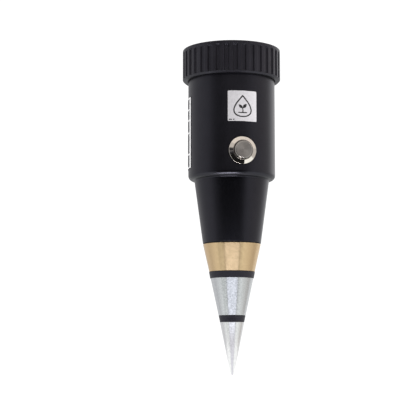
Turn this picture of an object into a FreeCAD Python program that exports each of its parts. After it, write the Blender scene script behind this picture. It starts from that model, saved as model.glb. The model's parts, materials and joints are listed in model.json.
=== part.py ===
"""Analogue soil moisture and pH meter: a hand probe with a dial in its head and a tapered
electrode stack for a tip.

The meter stands on its point with +Z up, and the origin is the tip of the probe.
The push button faces -Y, and the dial reads with its lower edge towards the button.
All lengths are in millimetres.
"""

import FreeCAD, Part
import math
import os

import Sketcher
from FreeCAD import Placement, Rotation, Vector

# ---------------------------------------------------------------- driving dimensions

DIMENSIONS = {
    # heights of the joints of the stack, from the tip up
    "tip_top": 25.9,
    "lower_ring_top": 29.1,
    "aluminium_top": 47.5,
    "upper_ring_top": 50.6,
    "brass_top": 64.3,
    "housing_bottom": 64.7,
    "shoulder_bottom": 96.1,
    "collar_bottom": 146.3,
    "neck_bottom": 147.0,
    "neck_top": 155.5,
    "overall_height": 162.2,
    # outer radii
    "point_radius": 0.75,
    "tip_radius": 6.0,
    "point_round": 0.6,
    "lower_ring_radius": 6.65,
    "aluminium_radius": 10.6,
    "upper_ring_radius_low": 10.8,
    "upper_ring_radius_high": 11.4,
    "brass_radius_low": 11.25,
    "brass_radius_high": 14.35,
    "taper_radius_low": 14.4,
    "taper_radius_high": 18.65,
    "barrel_radius": 21.7,
    "neck_radius": 21.15,
    "collar_radius": 24.5,
    # housing
    "wall": 2.2,
    "shoulder_round": 2.5,
    "crease_round": 0.3,
    "neck_chamfer": 0.4,
    "floor_thickness": 3.0,
    "floor_boss_radius": 6.0,
    "floor_boss_rise": 1.2,
    "floor_wall_relief": 0.2,
    "inner_shoulder_slope": 1.0,
    "edge_break": 0.15,
    # electrode stack
    "rod_radius": 2.0,
    "rod_clearance": 0.1,
    "rod_start": 14.0,
    "rod_end": 77.0,
    "rod_chamfer": 0.5,
    "sleeve_radius": 3.1,
    "sleeve_clearance": 0.1,
    "sleeve_end_gap": 0.2,
    "tie_washer_radius": 5.0,
    "tie_washer_thickness": 1.0,
    "tie_nut_flats": 7.0,
    "tie_nut_height": 3.2,
    "lug_recess_radius": 8.8,
    "lug_recess_depth": 1.2,
    "lug_thickness": 0.8,
    "lug_tab_width": 2.4,
    "tip_lug_radius": 4.0,
    "tip_lug_reach": 8.0,
    "aluminium_lug_radius": 5.4,
    "aluminium_lug_reach": 8.3,
    "brass_web": 3.0,
    "brass_cavity_low": 8.9,
    "brass_cavity_high": 11.8,
    "brass_screw_place": 5.6,
    "brass_screw_radius": 1.25,
    "brass_screw_head_radius": 1.7,
    "brass_screw_head_height": 1.3,
    "brass_screw_bite": 2.0,
    "brass_screw_slot_width": 0.45,
    "brass_screw_slot_depth": 0.6,
    "brass_lug_length": 4.8,
    "brass_lug_width": 3.2,
    "brass_lug_place": 6.25,
    "brass_lead_place": 8.05,
    "web_lead_hole_radius": 1.3,
    "lead_circle": 7.4,
    "lead_radius": 0.65,
    "lead_hole_radius": 0.9,
    "gasket_inner": 12.0,
    "gasket_outer": 13.8,
    # push button switch, measured outwards from the axis of the housing
    "button_height": 108.4,
    "switch_seat": 20.3,
    "switch_boss_face": 17.2,
    "switch_boss_radius": 8.8,
    "switch_boss_inset": 0.7,
    "spot_face_gap": 0.25,
    "switch_hole_radius": 6.05,
    "switch_barrel_radius": 6.0,
    "switch_barrel_end": 9.0,
    "bezel_radius": 6.85,
    "bezel_seat_gap": 0.4,
    "bezel_edge": 0.7,
    "bezel_round": 0.3,
    "bezel_lip": 0.3,
    "seal_radius": 6.9,
    "lock_washer_radius": 8.2,
    "lock_washer_thickness": 0.7,
    "switch_nut_flats": 14.0,
    "switch_nut_height": 2.8,
    "bezel_front": 22.4,
    "button_radius": 4.3,
    "button_gap": 0.4,
    "button_stop_gap": 0.1,
    "button_round": 0.45,
    "plunger_socket": 1.2,
    "button_front": 24.0,
    "button_travel": 1.5,
    "button_flange_radius": 5.1,
    "switch_bore_radius": 5.2,
    "button_flange_front": 19.6,
    "button_flange_back": 17.8,
    "plunger_radius": 1.8,
    "plunger_end": 14.2,
    "contact_radius": 2.6,
    "contact_thickness": 0.3,
    "switch_base_front": 12.0,
    "switch_base_back": 9.6,
    "terminal_offset": 1.8,
    "terminal_end": 5.5,
    "terminal_radius": 0.5,
    "terminal_head_radius": 0.75,
    "terminal_head_height": 0.3,
    "button_spring_radius": 3.3,
    "button_spring_wire": 0.25,
    # collar, lens and meter case
    "window_radius": 18.6,
    "lens_radius": 20.9,
    "lens_bottom": 157.0,
    "lens_top": 159.0,
    "lens_skirt_outer": 17.9,
    "lens_skirt_inner": 16.8,
    "lens_gasket_thickness": 0.6,
    "lens_gap": 0.05,
    "lens_round": 0.3,
    "lens_gasket_gap": 0.3,
    "thread_gap": 0.1,
    "skirt_gap": 0.25,
    "skirt_rise": 0.3,
    "collar_chamfer": 0.8,
    "collar_round": 0.5,
    "window_chamfer": 0.6,
    "rib_count": 36,
    "rib_depth": 0.65,
    "flute_floor_half": 0.85,
    "flute_mouth_half": 1.75,
    "flute_mouth_reach": 1.0,
    "flute_lip": 1.6,
    "case_radius": 19.3,
    "case_wall": 1.2,
    "case_bottom": 129.6,
    "case_floor": 1.6,
    "ledge_depth": 2.0,
    "ledge_slope": 1.5,
    "post_radius": 1.9,
    "post_sink": 0.5,
    "post_hole_depth": 6.0,
    "dial_seat": 148.4,
    "dial_thickness": 0.4,
    "dial_radius": 17.7,
    "dial_hole_radius": 4.0,
    "dial_ledge_radius": 16.4,
    # moving coil movement, about its own pivot axis
    "pivot_offset": 9.4,
    "pointer_park_angle": 42.0,
    "core_radius": 3.6,
    "yoke_inner": 6.2,
    "yoke_outer": 8.4,
    "yoke_bottom": 137.0,
    "yoke_top": 144.0,
    "coil_inner": 4.1,
    "coil_outer": 5.4,
    "coil_half_width": 1.9,
    "coil_bottom": 135.6,
    "coil_top": 145.4,
    "pillar_offset": 7.3,
    "pillar_radius": 0.8,
    "spacer_radius": 1.35,
    "core_web_width": 2.2,
    "movement_head_radius": 1.3,
    "movement_head_height": 0.6,
    "movement_screw_bite": 0.3,
    "upper_bridge_bottom": 146.8,
    "lower_bridge_bottom": 132.4,
    "bridge_thickness": 0.8,
    "bridge_half_width": 1.55,
    "bridge_overhang": 1.4,
    "jewel_radius": 1.0,
    "pivot_radius": 0.25,
    "pointer_level": 149.6,
    "pointer_thickness": 0.25,
    "pointer_reach": 20.0,
    "pointer_riser": 3.0,
    "pointer_root_rise": 0.6,
    # lower cover of the dial
    "mask_level": 151.4,
    "mask_thickness": 0.4,
    "mask_radius": 16.5,
    "mask_edge": 5.4,
    "mask_screw_x": 11.6,
    "mask_screw_y": 9.0,
    "mask_screw_radius": 0.7,
    "mask_hole_radius": 0.75,
    "mask_screw_depth": 5.0,
    "mask_head_radius": 1.4,
    "mask_head_height": 0.7,
    "mask_slot_width": 0.35,
    "mask_leg_radius": 1.3,
    # meter terminals
    "stud_x": 8.0,
    "stud_y": 8.0,
    "stud_radius": 1.5,
    "stud_length": 7.5,
    "stud_head_radius": 2.6,
    "stud_head_height": 1.2,
    "stud_nut_flats": 5.5,
    "stud_nut_height": 2.2,
    "solder_tag_radius": 3.2,
    "solder_tag_thickness": 0.4,
    "resistor_drop": 6.6,
    "resistor_radius": 1.2,
    "resistor_length": 6.4,
    "resistor_round": 0.4,
    "resistor_lead_radius": 0.3,
    "resistor_lead_reach": 1.6,
    "resistor_lead_bend": 1.0,
    # labels
    "label_width": 14.6,
    "label_height": 15.0,
    "label_middle": 130.1,
    "label_thickness": 0.15,
    "side_label_bottom": 101.4,
    "side_label_top": 137.5,
    "side_label_start": 82.0,
    "side_label_sweep": 100.0,
}


class Size:
    """A length with its number and the spreadsheet expression that gives it."""

    def __init__(self, value, text=None):
        self.value = float(value)
        self.text = text or repr(float(value))

    def _with(self, other, sign, value):
        return Size(value, f"({self.text} {sign} {as_size(other).text})")

    def __add__(self, other):
        return self._with(other, "+", self.value + as_size(other).value)

    def __sub__(self, other):
        return self._with(other, "-", self.value - as_size(other).value)

    def __mul__(self, other):
        return self._with(other, "*", self.value * as_size(other).value)

    def __truediv__(self, other):
        return self._with(other, "/", self.value / as_size(other).value)


def as_size(number):
    return number if isinstance(number, Size) else Size(number)


def make_sheet(doc):
    """Writes the driving dimensions into the spreadsheet and returns one Size for each."""
    sheet = doc.addObject("Spreadsheet::Sheet", "Sheet")
    sizes = {}
    for row, (alias, value) in enumerate(DIMENSIONS.items(), start=1):
        sheet.set(f"A{row}", alias)
        sheet.set(f"B{row}", str(value))
        sheet.setAlias(f"B{row}", alias)
        sizes[alias] = Size(value, f"Sheet.{alias}")
    return sizes


doc = FreeCAD.newDocument("soil_meter")
size = make_sheet(doc)
doc.recompute()
subparts = []

Z_AXIS = Vector(0, 0, 1)
# A switch piece is drawn standing on Z and laid down so that its Z points out of the housing.
SWITCH_PLACE = Placement(Vector(0, 0, size["button_height"].value), Rotation(Vector(1, 0, 0), 90))
PIVOT = Vector(0, -size["pivot_offset"].value, 0)
PIVOT_PLACE = Placement(PIVOT, Rotation())
PARKED_PLACE = Placement(PIVOT, Rotation(Z_AXIS, size["pointer_park_angle"].value))
HOME = Placement()
# A cutting tool starts this far outside the material and runs this far past it.
OVERRUN = 1.0
# Lengths shorter than this are taken as nought.
TINY = 1e-9


# ---------------------------------------------------------------- building blocks

def keep(item, label):
    """Names a finished sub-part and puts it on the list that is exported."""
    item.Label = label
    subparts.append(item)
    return item


def bind(item, name, length):
    """Sets a property from the sheet."""
    item.setExpression(name, as_size(length).text)


def new_body(label, place=HOME):
    body = doc.addObject("PartDesign::Body", label)
    body.Placement = place
    return keep(body, label)


def origin_plane(body, role):
    return next(f for f in body.Origin.OriginFeatures if f.Role == role)


def new_sketch(body, role, offset=0.0):
    """A sketch on one of the body's own origin planes, moved along that plane's normal."""
    sketch = body.newObject("Sketcher::SketchObject", body.Name + "_sketch")
    sketch.AttachmentSupport = (origin_plane(body, role), "")
    sketch.MapMode = "FlatFace"
    level = as_size(offset)
    sketch.AttachmentOffset = Placement(Vector(0, 0, level.value), Rotation())
    sketch.setExpression("AttachmentOffset.Base.z", level.text)
    return sketch


def pin_vertex(sketch, line, x, y):
    """Fixes the start of a line at a place given by two sizes."""
    for kind, axis, length in (("DistanceX", -2, as_size(x)), ("DistanceY", -1, as_size(y))):
        if abs(length.value) < TINY:
            sketch.addConstraint(Sketcher.Constraint("PointOnObject", line, 1, axis))
        else:
            index = sketch.addConstraint(Sketcher.Constraint(kind, -1, 1, line, 1, length.value))
            sketch.setExpression(f"Constraints[{index}]", length.text)


def draw_polygon(sketch, points):
    """A closed outline whose corners are pairs of sizes."""
    first = sketch.GeometryCount
    places = [Vector(as_size(x).value, as_size(y).value, 0) for x, y in points]
    count = len(points)
    for i in range(count):
        sketch.addGeometry(Part.LineSegment(places[i], places[(i + 1) % count]), False)
    for i in range(count):
        following = first + (i + 1) % count
        sketch.addConstraint(Sketcher.Constraint("Coincident", first + i, 2, following, 1))
    for i, (x, y) in enumerate(points):
        pin_vertex(sketch, first + i, x, y)


def draw_circle(sketch, x, y, radius):
    x, y, radius = as_size(x), as_size(y), as_size(radius)
    index = sketch.addGeometry(
        Part.Circle(Vector(x.value, y.value, 0), Z_AXIS, radius.value), False
    )
    for kind, axis, length in (("DistanceX", -2, x), ("DistanceY", -1, y)):
        if abs(length.value) < TINY:
            sketch.addConstraint(Sketcher.Constraint("PointOnObject", index, 3, axis))
        else:
            place = sketch.addConstraint(
                Sketcher.Constraint(kind, -1, 1, index, 3, length.value)
            )
            sketch.setExpression(f"Constraints[{place}]", length.text)
    rim = sketch.addConstraint(Sketcher.Constraint("Radius", index, radius.value))
    sketch.setExpression(f"Constraints[{rim}]", radius.text)


def revolve(label, outline, place=HOME):
    """A body turned about Z from an outline of (radius, height) corners."""
    body = new_body(label, place)
    sketch = new_sketch(body, "XZ_Plane")
    draw_polygon(sketch, outline)
    turned = body.newObject("PartDesign::Revolution", label + "_turned")
    turned.Profile = sketch
    turned.ReferenceAxis = (sketch, ["V_Axis"])
    turned.Angle = 360.0
    sketch.Visibility = False
    doc.recompute()
    return body


def volume(body):
    doc.recompute()
    return body.Shape.Volume


def pad(body, sketch, length, backwards=False):
    grown = body.newObject("PartDesign::Pad", body.Name + "_pad")
    grown.Profile = sketch
    grown.Length = as_size(length).value
    grown.setExpression("Length", as_size(length).text)
    grown.Reversed = backwards
    doc.recompute()
    return grown


def pocket(body, sketch, depth, backwards=False):
    """Cuts along a sketch's normal, or against it, and stops if nothing was cut."""
    before = volume(body)
    cut = body.newObject("PartDesign::Pocket", body.Name + "_pocket")
    cut.Profile = sketch
    cut.Length = as_size(depth).value
    cut.setExpression("Length", as_size(depth).text)
    cut.Reversed = not backwards
    if volume(body) > before - 1e-3:
        raise RuntimeError(f"{body.Label}: a pocket cuts nothing")
    return cut


def drill(body, role, holes, start, depth):
    """Round holes, each (x, y, radius), cut from a level upwards along the plane's normal."""
    sketch = new_sketch(body, role, start)
    for x, y, radius in holes:
        draw_circle(sketch, x, y, radius)
    return pocket(body, sketch, depth)


def round_rims(body, rims, radius, kind="PartDesign::Fillet"):
    """Rounds or chamfers the circular edges at the given (radius, height) places."""
    doc.recompute()
    names = []
    for number, edge in enumerate(body.Tip.Shape.Edges, start=1):
        if not isinstance(edge.Curve, Part.Circle):
            continue
        for rim_radius, rim_height in rims:
            same_radius = abs(edge.Curve.Radius - as_size(rim_radius).value) < 1e-3
            same_height = abs(edge.Curve.Center.z - as_size(rim_height).value) < 1e-3
            if same_radius and same_height:
                names.append(f"Edge{number}")
    if len(names) < len(rims):
        raise RuntimeError(f"{body.Label}: {len(rims)} rims wanted, {len(names)} found")
    dressed_from = body.Tip
    dressed = body.newObject(kind, body.Name + "_rims")
    dressed.Base = (dressed_from, names)
    width = "Radius" if kind.endswith("Fillet") else "Size"
    setattr(dressed, width, as_size(radius).value)
    dressed.setExpression(width, as_size(radius).text)
    doc.recompute()
    return dressed


def cylinder(name, radius, height, x=0, y=0, z=0):
    """A Part cylinder standing on (x, y, z), bound to the sheet."""
    item = doc.addObject("Part::Cylinder", name)
    bind(item, "Radius", radius)
    bind(item, "Height", height)
    return stand(item, x, y, z)


def stand(item, x, y, z):
    for axis, length in (("x", x), ("y", y), ("z", z)):
        if as_size(length).value or isinstance(length, Size):
            bind(item, f"Placement.Base.{axis}", length)
    return item


def box(name, length, width, height, x, y, z):
    """A Part box centred on x and y with its underside at z."""
    item = doc.addObject("Part::Box", name)
    for prop, value in (("Length", length), ("Width", width), ("Height", height)):
        bind(item, prop, value)
    return stand(item, as_size(x) - as_size(length) / 2, as_size(y) - as_size(width) / 2, z)


def cut(name, base, tool):
    item = doc.addObject("Part::Cut", name)
    item.Base, item.Tool = base, tool
    return item


def fuse(name, *items):
    item = doc.addObject("Part::MultiFuse", name)
    item.Shapes = list(items)
    return item


def group(label, items, place=HOME):
    """Separate solids that share one node."""
    item = doc.addObject("Part::Compound", label)
    item.Links = list(items)
    item.Placement = place
    return keep(item, label)


def tube(name, outer, inner, height, x=0, y=0, z=0):
    return cut(
        name,
        cylinder(name + "_outside", outer, height, x, y, z),
        cylinder(name + "_bore", inner, height, x, y, z),
    )


def hex_nut(name, across_flats, bore, height, x=0, y=0, z=0):
    prism = doc.addObject("Part::Prism", name + "_hexagon")
    prism.Polygon = 6
    bind(prism, "Circumradius", as_size(across_flats) / (2 * math.cos(math.pi / 6)))
    bind(prism, "Height", height)
    stand(prism, x, y, z)
    return cut(name, prism, cylinder(name + "_bore", bore, height, x, y, z))


def placed(item, place):
    item.Placement = place
    return item


def feature(label, shape, place=HOME):
    """A sub-part whose shape comes straight from Part's own functions."""
    item = doc.addObject("Part::Feature", label)
    item.Shape = shape
    item.Placement = place.multiply(shape.Placement)
    return keep(item, label)


def millimetres(name):
    return size[name].value


# ---------------------------------------------------------------- electrode stack

def make_tip_electrode():
    """Solid aluminium point, tapped from above for the tie rod."""
    tip = revolve("tip_electrode", [
        (0, 0),
        (size["point_radius"], 0),
        (size["tip_radius"], size["tip_top"]),
        (size["rod_radius"], size["tip_top"]),
        (size["rod_radius"], size["rod_start"]),
        (0, size["rod_start"]),
    ])
    round_rims(tip, [(size["point_radius"], 0)], size["point_round"])
    chamfer_rims(tip, [(size["tip_radius"], size["tip_top"])])


def chamfer_rims(body, rims, width=None):
    width = size["edge_break"] if width is None else width
    round_rims(body, rims, width, "PartDesign::Chamfer")


def make_insulator_rings():
    """Black insulating washers between the metals of the stack."""
    rod_hole = size["rod_radius"] + size["rod_clearance"]
    revolve("lower_insulator_ring", [
        (rod_hole, size["tip_top"]),
        (size["tip_radius"], size["tip_top"]),
        (size["lower_ring_radius"], size["lower_ring_top"]),
        (rod_hole, size["lower_ring_top"]),
    ])
    sleeve_hole = size["sleeve_radius"] + size["sleeve_clearance"]
    upper = revolve("upper_insulator_ring", [
        (sleeve_hole, size["aluminium_top"]),
        (size["upper_ring_radius_low"], size["aluminium_top"]),
        (size["upper_ring_radius_high"], size["upper_ring_top"]),
        (sleeve_hole, size["upper_ring_top"]),
    ])
    drill(upper, "XY_Plane", [(0, size["lead_circle"], size["lead_hole_radius"])],
          size["aluminium_top"] - OVERRUN,
          size["upper_ring_top"] - size["aluminium_top"] + 2 * OVERRUN)


def make_aluminium_electrode():
    """Middle electrode, with a recess in its top face for the solder lug."""
    bore = size["sleeve_radius"] + size["sleeve_clearance"]
    recess = size["aluminium_top"] - size["lug_recess_depth"]
    electrode = revolve("aluminium_electrode", [
        (bore, size["lower_ring_top"]),
        (size["lower_ring_radius"], size["lower_ring_top"]),
        (size["aluminium_radius"], size["aluminium_top"]),
        (size["lug_recess_radius"], size["aluminium_top"]),
        (size["lug_recess_radius"], recess),
        (bore, recess),
    ])
    chamfer_rims(electrode, [
        (size["lower_ring_radius"], size["lower_ring_top"]),
        (size["aluminium_radius"], size["aluminium_top"]),
    ])


def make_brass_electrode():
    """Hollow brass ring with a web that the stack clamps on."""
    bore = size["sleeve_radius"] + size["sleeve_clearance"]
    web_top = size["upper_ring_top"] + size["brass_web"]
    electrode = revolve("brass_electrode", [
        (bore, size["upper_ring_top"]),
        (size["brass_radius_low"], size["upper_ring_top"]),
        (size["brass_radius_high"], size["brass_top"]),
        (size["brass_cavity_high"], size["brass_top"]),
        (size["brass_cavity_low"], web_top),
        (bore, web_top),
    ])
    drill(electrode, "XY_Plane", [
        (0, size["lead_circle"], size["web_lead_hole_radius"]),
        (size["brass_screw_place"] * -1, 0, size["brass_screw_radius"]),
    ], size["upper_ring_top"] - OVERRUN, size["brass_web"] + 2 * OVERRUN)
    chamfer_rims(electrode, [
        (size["brass_radius_low"], size["upper_ring_top"]),
        (size["brass_radius_high"], size["brass_top"]),
    ])


def solder_lug(name, hole, ring, angle, level, reach):
    """A flat ring terminal with a tab that points along the given angle."""
    thickness = size["lug_thickness"]
    ring_plate = cylinder(name + "_ring", ring, thickness, 0, 0, level)
    tab = box(name + "_tab", reach, size["lug_tab_width"], thickness, as_size(reach) / 2, 0, level)
    plate = fuse(name + "_plate", ring_plate, tab)
    bore = cylinder(name + "_hole", hole, thickness, 0, 0, level)
    lug = cut(name, plate, bore)
    lug.Placement = Placement(Vector(), Rotation(Z_AXIS, angle))
    return keep(lug, name)


def make_stack_hardware():
    """Tie rod, its sleeve, nut and washer, and the solder lugs of the electrodes."""
    sleeve_bore = size["rod_radius"] + size["rod_clearance"]
    boss_top = size["housing_bottom"] + size["floor_thickness"] + size["floor_boss_rise"]
    sleeve_length = boss_top - size["lower_ring_top"] - size["sleeve_end_gap"]
    keep(tube("insulating_sleeve", size["sleeve_radius"], sleeve_bore, sleeve_length,
              0, 0, size["lower_ring_top"]), "insulating_sleeve")
    rod = revolve("tie_rod", [
        (0, size["rod_start"]),
        (size["rod_radius"], size["rod_start"]),
        (size["rod_radius"], size["rod_end"]),
        (0, size["rod_end"]),
    ])
    chamfer_rims(rod, [(size["rod_radius"], size["rod_end"])], size["rod_chamfer"])
    keep(tube("tie_washer", size["tie_washer_radius"], sleeve_bore,
              size["tie_washer_thickness"], 0, 0, boss_top), "tie_washer")
    washer_top = boss_top + size["tie_washer_thickness"]
    solder_lug("tip_solder_lug", sleeve_bore, size["tip_lug_radius"], 0, washer_top,
               size["tip_lug_reach"])
    keep(hex_nut("tie_nut", size["tie_nut_flats"], size["rod_radius"], size["tie_nut_height"],
                 0, 0, washer_top + size["lug_thickness"]), "tie_nut")
    lug_level = size["aluminium_top"] - size["lug_recess_depth"]
    solder_lug("aluminium_solder_lug", size["sleeve_radius"] + size["sleeve_clearance"],
               size["aluminium_lug_radius"], 90, lug_level, size["aluminium_lug_reach"])
    make_brass_lug()
    gasket_height = size["housing_bottom"] - size["brass_top"]
    keep(tube("base_gasket", size["gasket_outer"], size["gasket_inner"], gasket_height,
              0, 0, size["brass_top"]), "base_gasket")


def make_brass_lug():
    """A small screw holds a solder lug to the web of the brass ring."""
    web_top = size["upper_ring_top"] + size["brass_web"]
    lug_top = web_top + size["lug_thickness"]
    place = size["brass_screw_place"] * -1
    shank_radius = size["brass_screw_radius"]
    plate = box("brass_lug_blank", size["brass_lug_length"], size["brass_lug_width"],
                size["lug_thickness"], size["brass_lug_place"] * -1, 0, web_top)
    hole = cylinder("brass_lug_hole", shank_radius, size["lug_thickness"], place, 0, web_top)
    keep(cut("brass_solder_lug", plate, hole), "brass_solder_lug")
    head = cylinder("brass_screw_head", size["brass_screw_head_radius"],
                    size["brass_screw_head_height"], place, 0, lug_top)
    shank = cylinder("brass_screw_shank", shank_radius,
                     size["brass_screw_bite"] + size["lug_thickness"], place, 0,
                     web_top - size["brass_screw_bite"])
    slot_level = lug_top + size["brass_screw_head_height"] - size["brass_screw_slot_depth"]
    slot = box("brass_screw_slot", size["brass_screw_head_radius"] * 2 + OVERRUN,
               size["brass_screw_slot_width"], size["brass_screw_slot_depth"], place, 0, slot_level)
    keep(cut("brass_lug_screw", fuse("brass_screw_body", head, shank), slot), "brass_lug_screw")


# ---------------------------------------------------------------- housing

def make_housing():
    """One black moulding: barrel, rounded shoulder and taper, closed below by a drilled floor."""
    sleeve_hole = size["sleeve_radius"] + size["sleeve_clearance"]
    inner = size["barrel_radius"] - size["wall"]
    floor_top = size["housing_bottom"] + size["floor_thickness"]
    boss_top = floor_top + size["floor_boss_rise"]
    inner_shoulder = size["shoulder_bottom"] + size["wall"]
    housing = revolve("housing", [
        (sleeve_hole, size["housing_bottom"]),
        (size["taper_radius_low"], size["housing_bottom"]),
        (size["taper_radius_high"], size["shoulder_bottom"]),
        (size["barrel_radius"], size["shoulder_bottom"]),
        (size["barrel_radius"], size["neck_bottom"]),
        (size["neck_radius"], size["neck_bottom"]),
        (size["neck_radius"], size["neck_top"]),
        (inner, size["neck_top"]),
        (inner, inner_shoulder + size["inner_shoulder_slope"]),
        (size["taper_radius_high"] - size["wall"], inner_shoulder),
        (size["taper_radius_low"] - size["wall"] + size["floor_wall_relief"], floor_top),
        (size["floor_boss_radius"], floor_top),
        (size["floor_boss_radius"], boss_top),
        (sleeve_hole, boss_top),
    ])
    round_rims(housing, [(size["barrel_radius"], size["shoulder_bottom"])],
               size["shoulder_round"])
    round_rims(housing, [(size["taper_radius_high"], size["shoulder_bottom"])],
               size["crease_round"])
    chamfer_rims(housing, [(size["neck_radius"], size["neck_top"])], size["neck_chamfer"])
    boss_depth = size["switch_seat"] - size["switch_boss_inset"] - size["switch_boss_face"]
    boss = new_sketch(housing, "XZ_Plane", size["switch_boss_face"])
    draw_circle(boss, 0, size["button_height"], size["switch_boss_radius"])
    pad(housing, boss, boss_depth)
    spot_face = size["bezel_radius"] + size["spot_face_gap"]
    drill(housing, "XZ_Plane", [(0, size["button_height"], spot_face)],
          size["switch_seat"], size["barrel_radius"] - size["switch_seat"] + OVERRUN)
    drill(housing, "XZ_Plane", [(0, size["button_height"], size["switch_hole_radius"])],
          size["switch_boss_face"] - OVERRUN,
          size["switch_seat"] - size["switch_boss_face"] + 2 * OVERRUN)
    drill(housing, "XY_Plane", [
        (0, size["lead_circle"], size["lead_hole_radius"]),
        (size["brass_lead_place"] * -1, 0, size["lead_hole_radius"]),
    ], size["housing_bottom"] - OVERRUN, size["floor_thickness"] + 2 * OVERRUN)


def curved_label(label, half_angle_start, half_angle_end, bottom, top):
    """A thin sheet that hugs the barrel between two angles measured from the button."""
    inner = millimetres("barrel_radius")
    outer = inner + millimetres("label_thickness")
    low, high = bottom.value, top.value
    sweep = half_angle_end - half_angle_start
    corners = [Vector(inner, 0, low), Vector(outer, 0, low),
               Vector(outer, 0, high), Vector(inner, 0, high)]
    section = Part.Face(Part.makePolygon(corners + corners[:1]))
    sheet = section.revolve(Vector(), Z_AXIS, sweep)
    turn = Rotation(Z_AXIS, half_angle_start - 90)
    return feature(label, sheet, Placement(Vector(), turn))


def make_labels():
    half = math.degrees(millimetres("label_width") / 2 / millimetres("barrel_radius"))
    middle, side = size["label_middle"], size["label_height"] / 2
    curved_label("symbol_label", -half, half, middle - side, middle + side)
    start = -millimetres("side_label_start")
    curved_label("side_label", start - millimetres("side_label_sweep"), start,
                 size["side_label_bottom"], size["side_label_top"])


# ---------------------------------------------------------------- push button switch

def make_switch_fixed():
    """Chromed bushing, its seal, washer, nut, insulating base and terminals."""
    bezel_back = size["switch_seat"] + size["bezel_seat_gap"]
    shoulder = size["button_flange_front"] + size["button_stop_gap"]
    mouth = size["button_radius"] + size["button_gap"]
    bushing = revolve("switch_bushing", [
        (size["switch_bore_radius"], size["switch_barrel_end"]),
        (size["switch_barrel_radius"], size["switch_barrel_end"]),
        (size["switch_barrel_radius"], bezel_back),
        (size["bezel_radius"], bezel_back),
        (size["bezel_radius"], bezel_back + size["bezel_edge"]),
        (mouth + size["bezel_lip"], size["bezel_front"]),
        (mouth, size["bezel_front"]),
        (mouth, shoulder),
        (size["switch_bore_radius"], shoulder),
    ], SWITCH_PLACE)
    round_rims(bushing, [(size["bezel_radius"], bezel_back + size["bezel_edge"])],
               size["bezel_round"])
    seal = tube("flat_seal", size["seal_radius"], size["switch_hole_radius"],
                size["bezel_seat_gap"], 0, 0, size["switch_seat"])
    keep(placed(group_of("flat_seal_holder", seal), SWITCH_PLACE), "switch_seal")
    washer_level = size["switch_boss_face"] - size["lock_washer_thickness"]
    washer = tube("lock_washer", size["lock_washer_radius"], size["switch_hole_radius"],
                  size["lock_washer_thickness"], 0, 0, washer_level)
    keep(placed(group_of("lock_washer_ring", washer), SWITCH_PLACE), "switch_lock_washer")
    nut = hex_nut("barrel_nut", size["switch_nut_flats"], size["switch_barrel_radius"],
                  size["switch_nut_height"], 0, 0, washer_level - size["switch_nut_height"])
    keep(placed(group_of("barrel_nut_ring", nut), SWITCH_PLACE), "switch_nut")
    base = revolve("switch_base", [
        (0, size["switch_base_back"]),
        (size["switch_bore_radius"], size["switch_base_back"]),
        (size["switch_bore_radius"], size["switch_base_front"]),
        (0, size["switch_base_front"]),
    ], SWITCH_PLACE)
    offset = size["terminal_offset"]
    pin_holes = [(offset, 0, size["terminal_radius"]), (offset * -1, 0, size["terminal_radius"])]
    drill(base, "XY_Plane", pin_holes, size["switch_base_back"] - OVERRUN,
          size["switch_base_front"] - size["switch_base_back"] + 2 * OVERRUN)
    make_switch_terminals()


def group_of(name, item):
    """Wraps one boolean so that it can be placed as a whole."""
    holder = doc.addObject("Part::Compound", name)
    holder.Links = [item]
    return holder


def make_switch_terminals():
    """Two riveted pins whose heads the contact disc bridges."""
    pins = []
    for side in (-1, 1):
        x = size["terminal_offset"] * side
        length = size["switch_base_front"] - size["terminal_end"]
        pin = cylinder("terminal_pin", size["terminal_radius"], length, x, 0,
                       size["terminal_end"])
        head = cylinder("terminal_head", size["terminal_head_radius"],
                        size["terminal_head_height"], x, 0, size["switch_base_front"])
        pins.append(fuse("terminal", pin, head))
    group("switch_terminals", pins, SWITCH_PLACE)


def make_button():
    """Sliding pieces: steel cap with a retaining flange, plunger and contact disc."""
    socket_end = size["button_flange_back"] + size["plunger_socket"]
    cap = revolve("button_cap", [
        (0, socket_end),
        (size["plunger_radius"], socket_end),
        (size["plunger_radius"], size["button_flange_back"]),
        (size["button_flange_radius"], size["button_flange_back"]),
        (size["button_flange_radius"], size["button_flange_front"]),
        (size["button_radius"], size["button_flange_front"]),
        (size["button_radius"], size["button_front"]),
        (0, size["button_front"]),
    ], SWITCH_PLACE)
    round_rims(cap, [(size["button_radius"], size["button_front"])], size["button_round"])
    revolve("button_plunger", [
        (0, size["plunger_end"]),
        (size["plunger_radius"], size["plunger_end"]),
        (size["plunger_radius"], socket_end),
        (0, socket_end),
    ], SWITCH_PLACE)
    revolve("contact_disc", [
        (0, size["plunger_end"] - size["contact_thickness"]),
        (size["contact_radius"], size["plunger_end"] - size["contact_thickness"]),
        (size["contact_radius"], size["plunger_end"]),
        (0, size["plunger_end"]),
    ], SWITCH_PLACE)


def make_button_spring():
    """Open coil spring of eight-sided wire under the cap's flange, at its pressed length."""
    wire = millimetres("button_spring_wire")
    coil_radius = millimetres("button_spring_radius")
    start = millimetres("switch_base_front") + wire
    end = millimetres("button_flange_back") - millimetres("button_travel") - wire
    turns, sides = 5, 8
    coil = Part.makeHelix((end - start) / turns, end - start, coil_radius)
    angles = [2 * math.pi * (i + 0.5) / sides for i in range(sides + 1)]
    section = Part.makePolygon([Vector(coil_radius + wire * math.cos(angle), 0,
                                       wire * math.sin(angle)) for angle in angles])
    spring = Part.Wire(coil.Edges).makePipeShell([section], True, True)
    spring.translate(Vector(0, 0, start))
    feature("button_spring", spring, SWITCH_PLACE)


# ---------------------------------------------------------------- collar, lens and case

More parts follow.
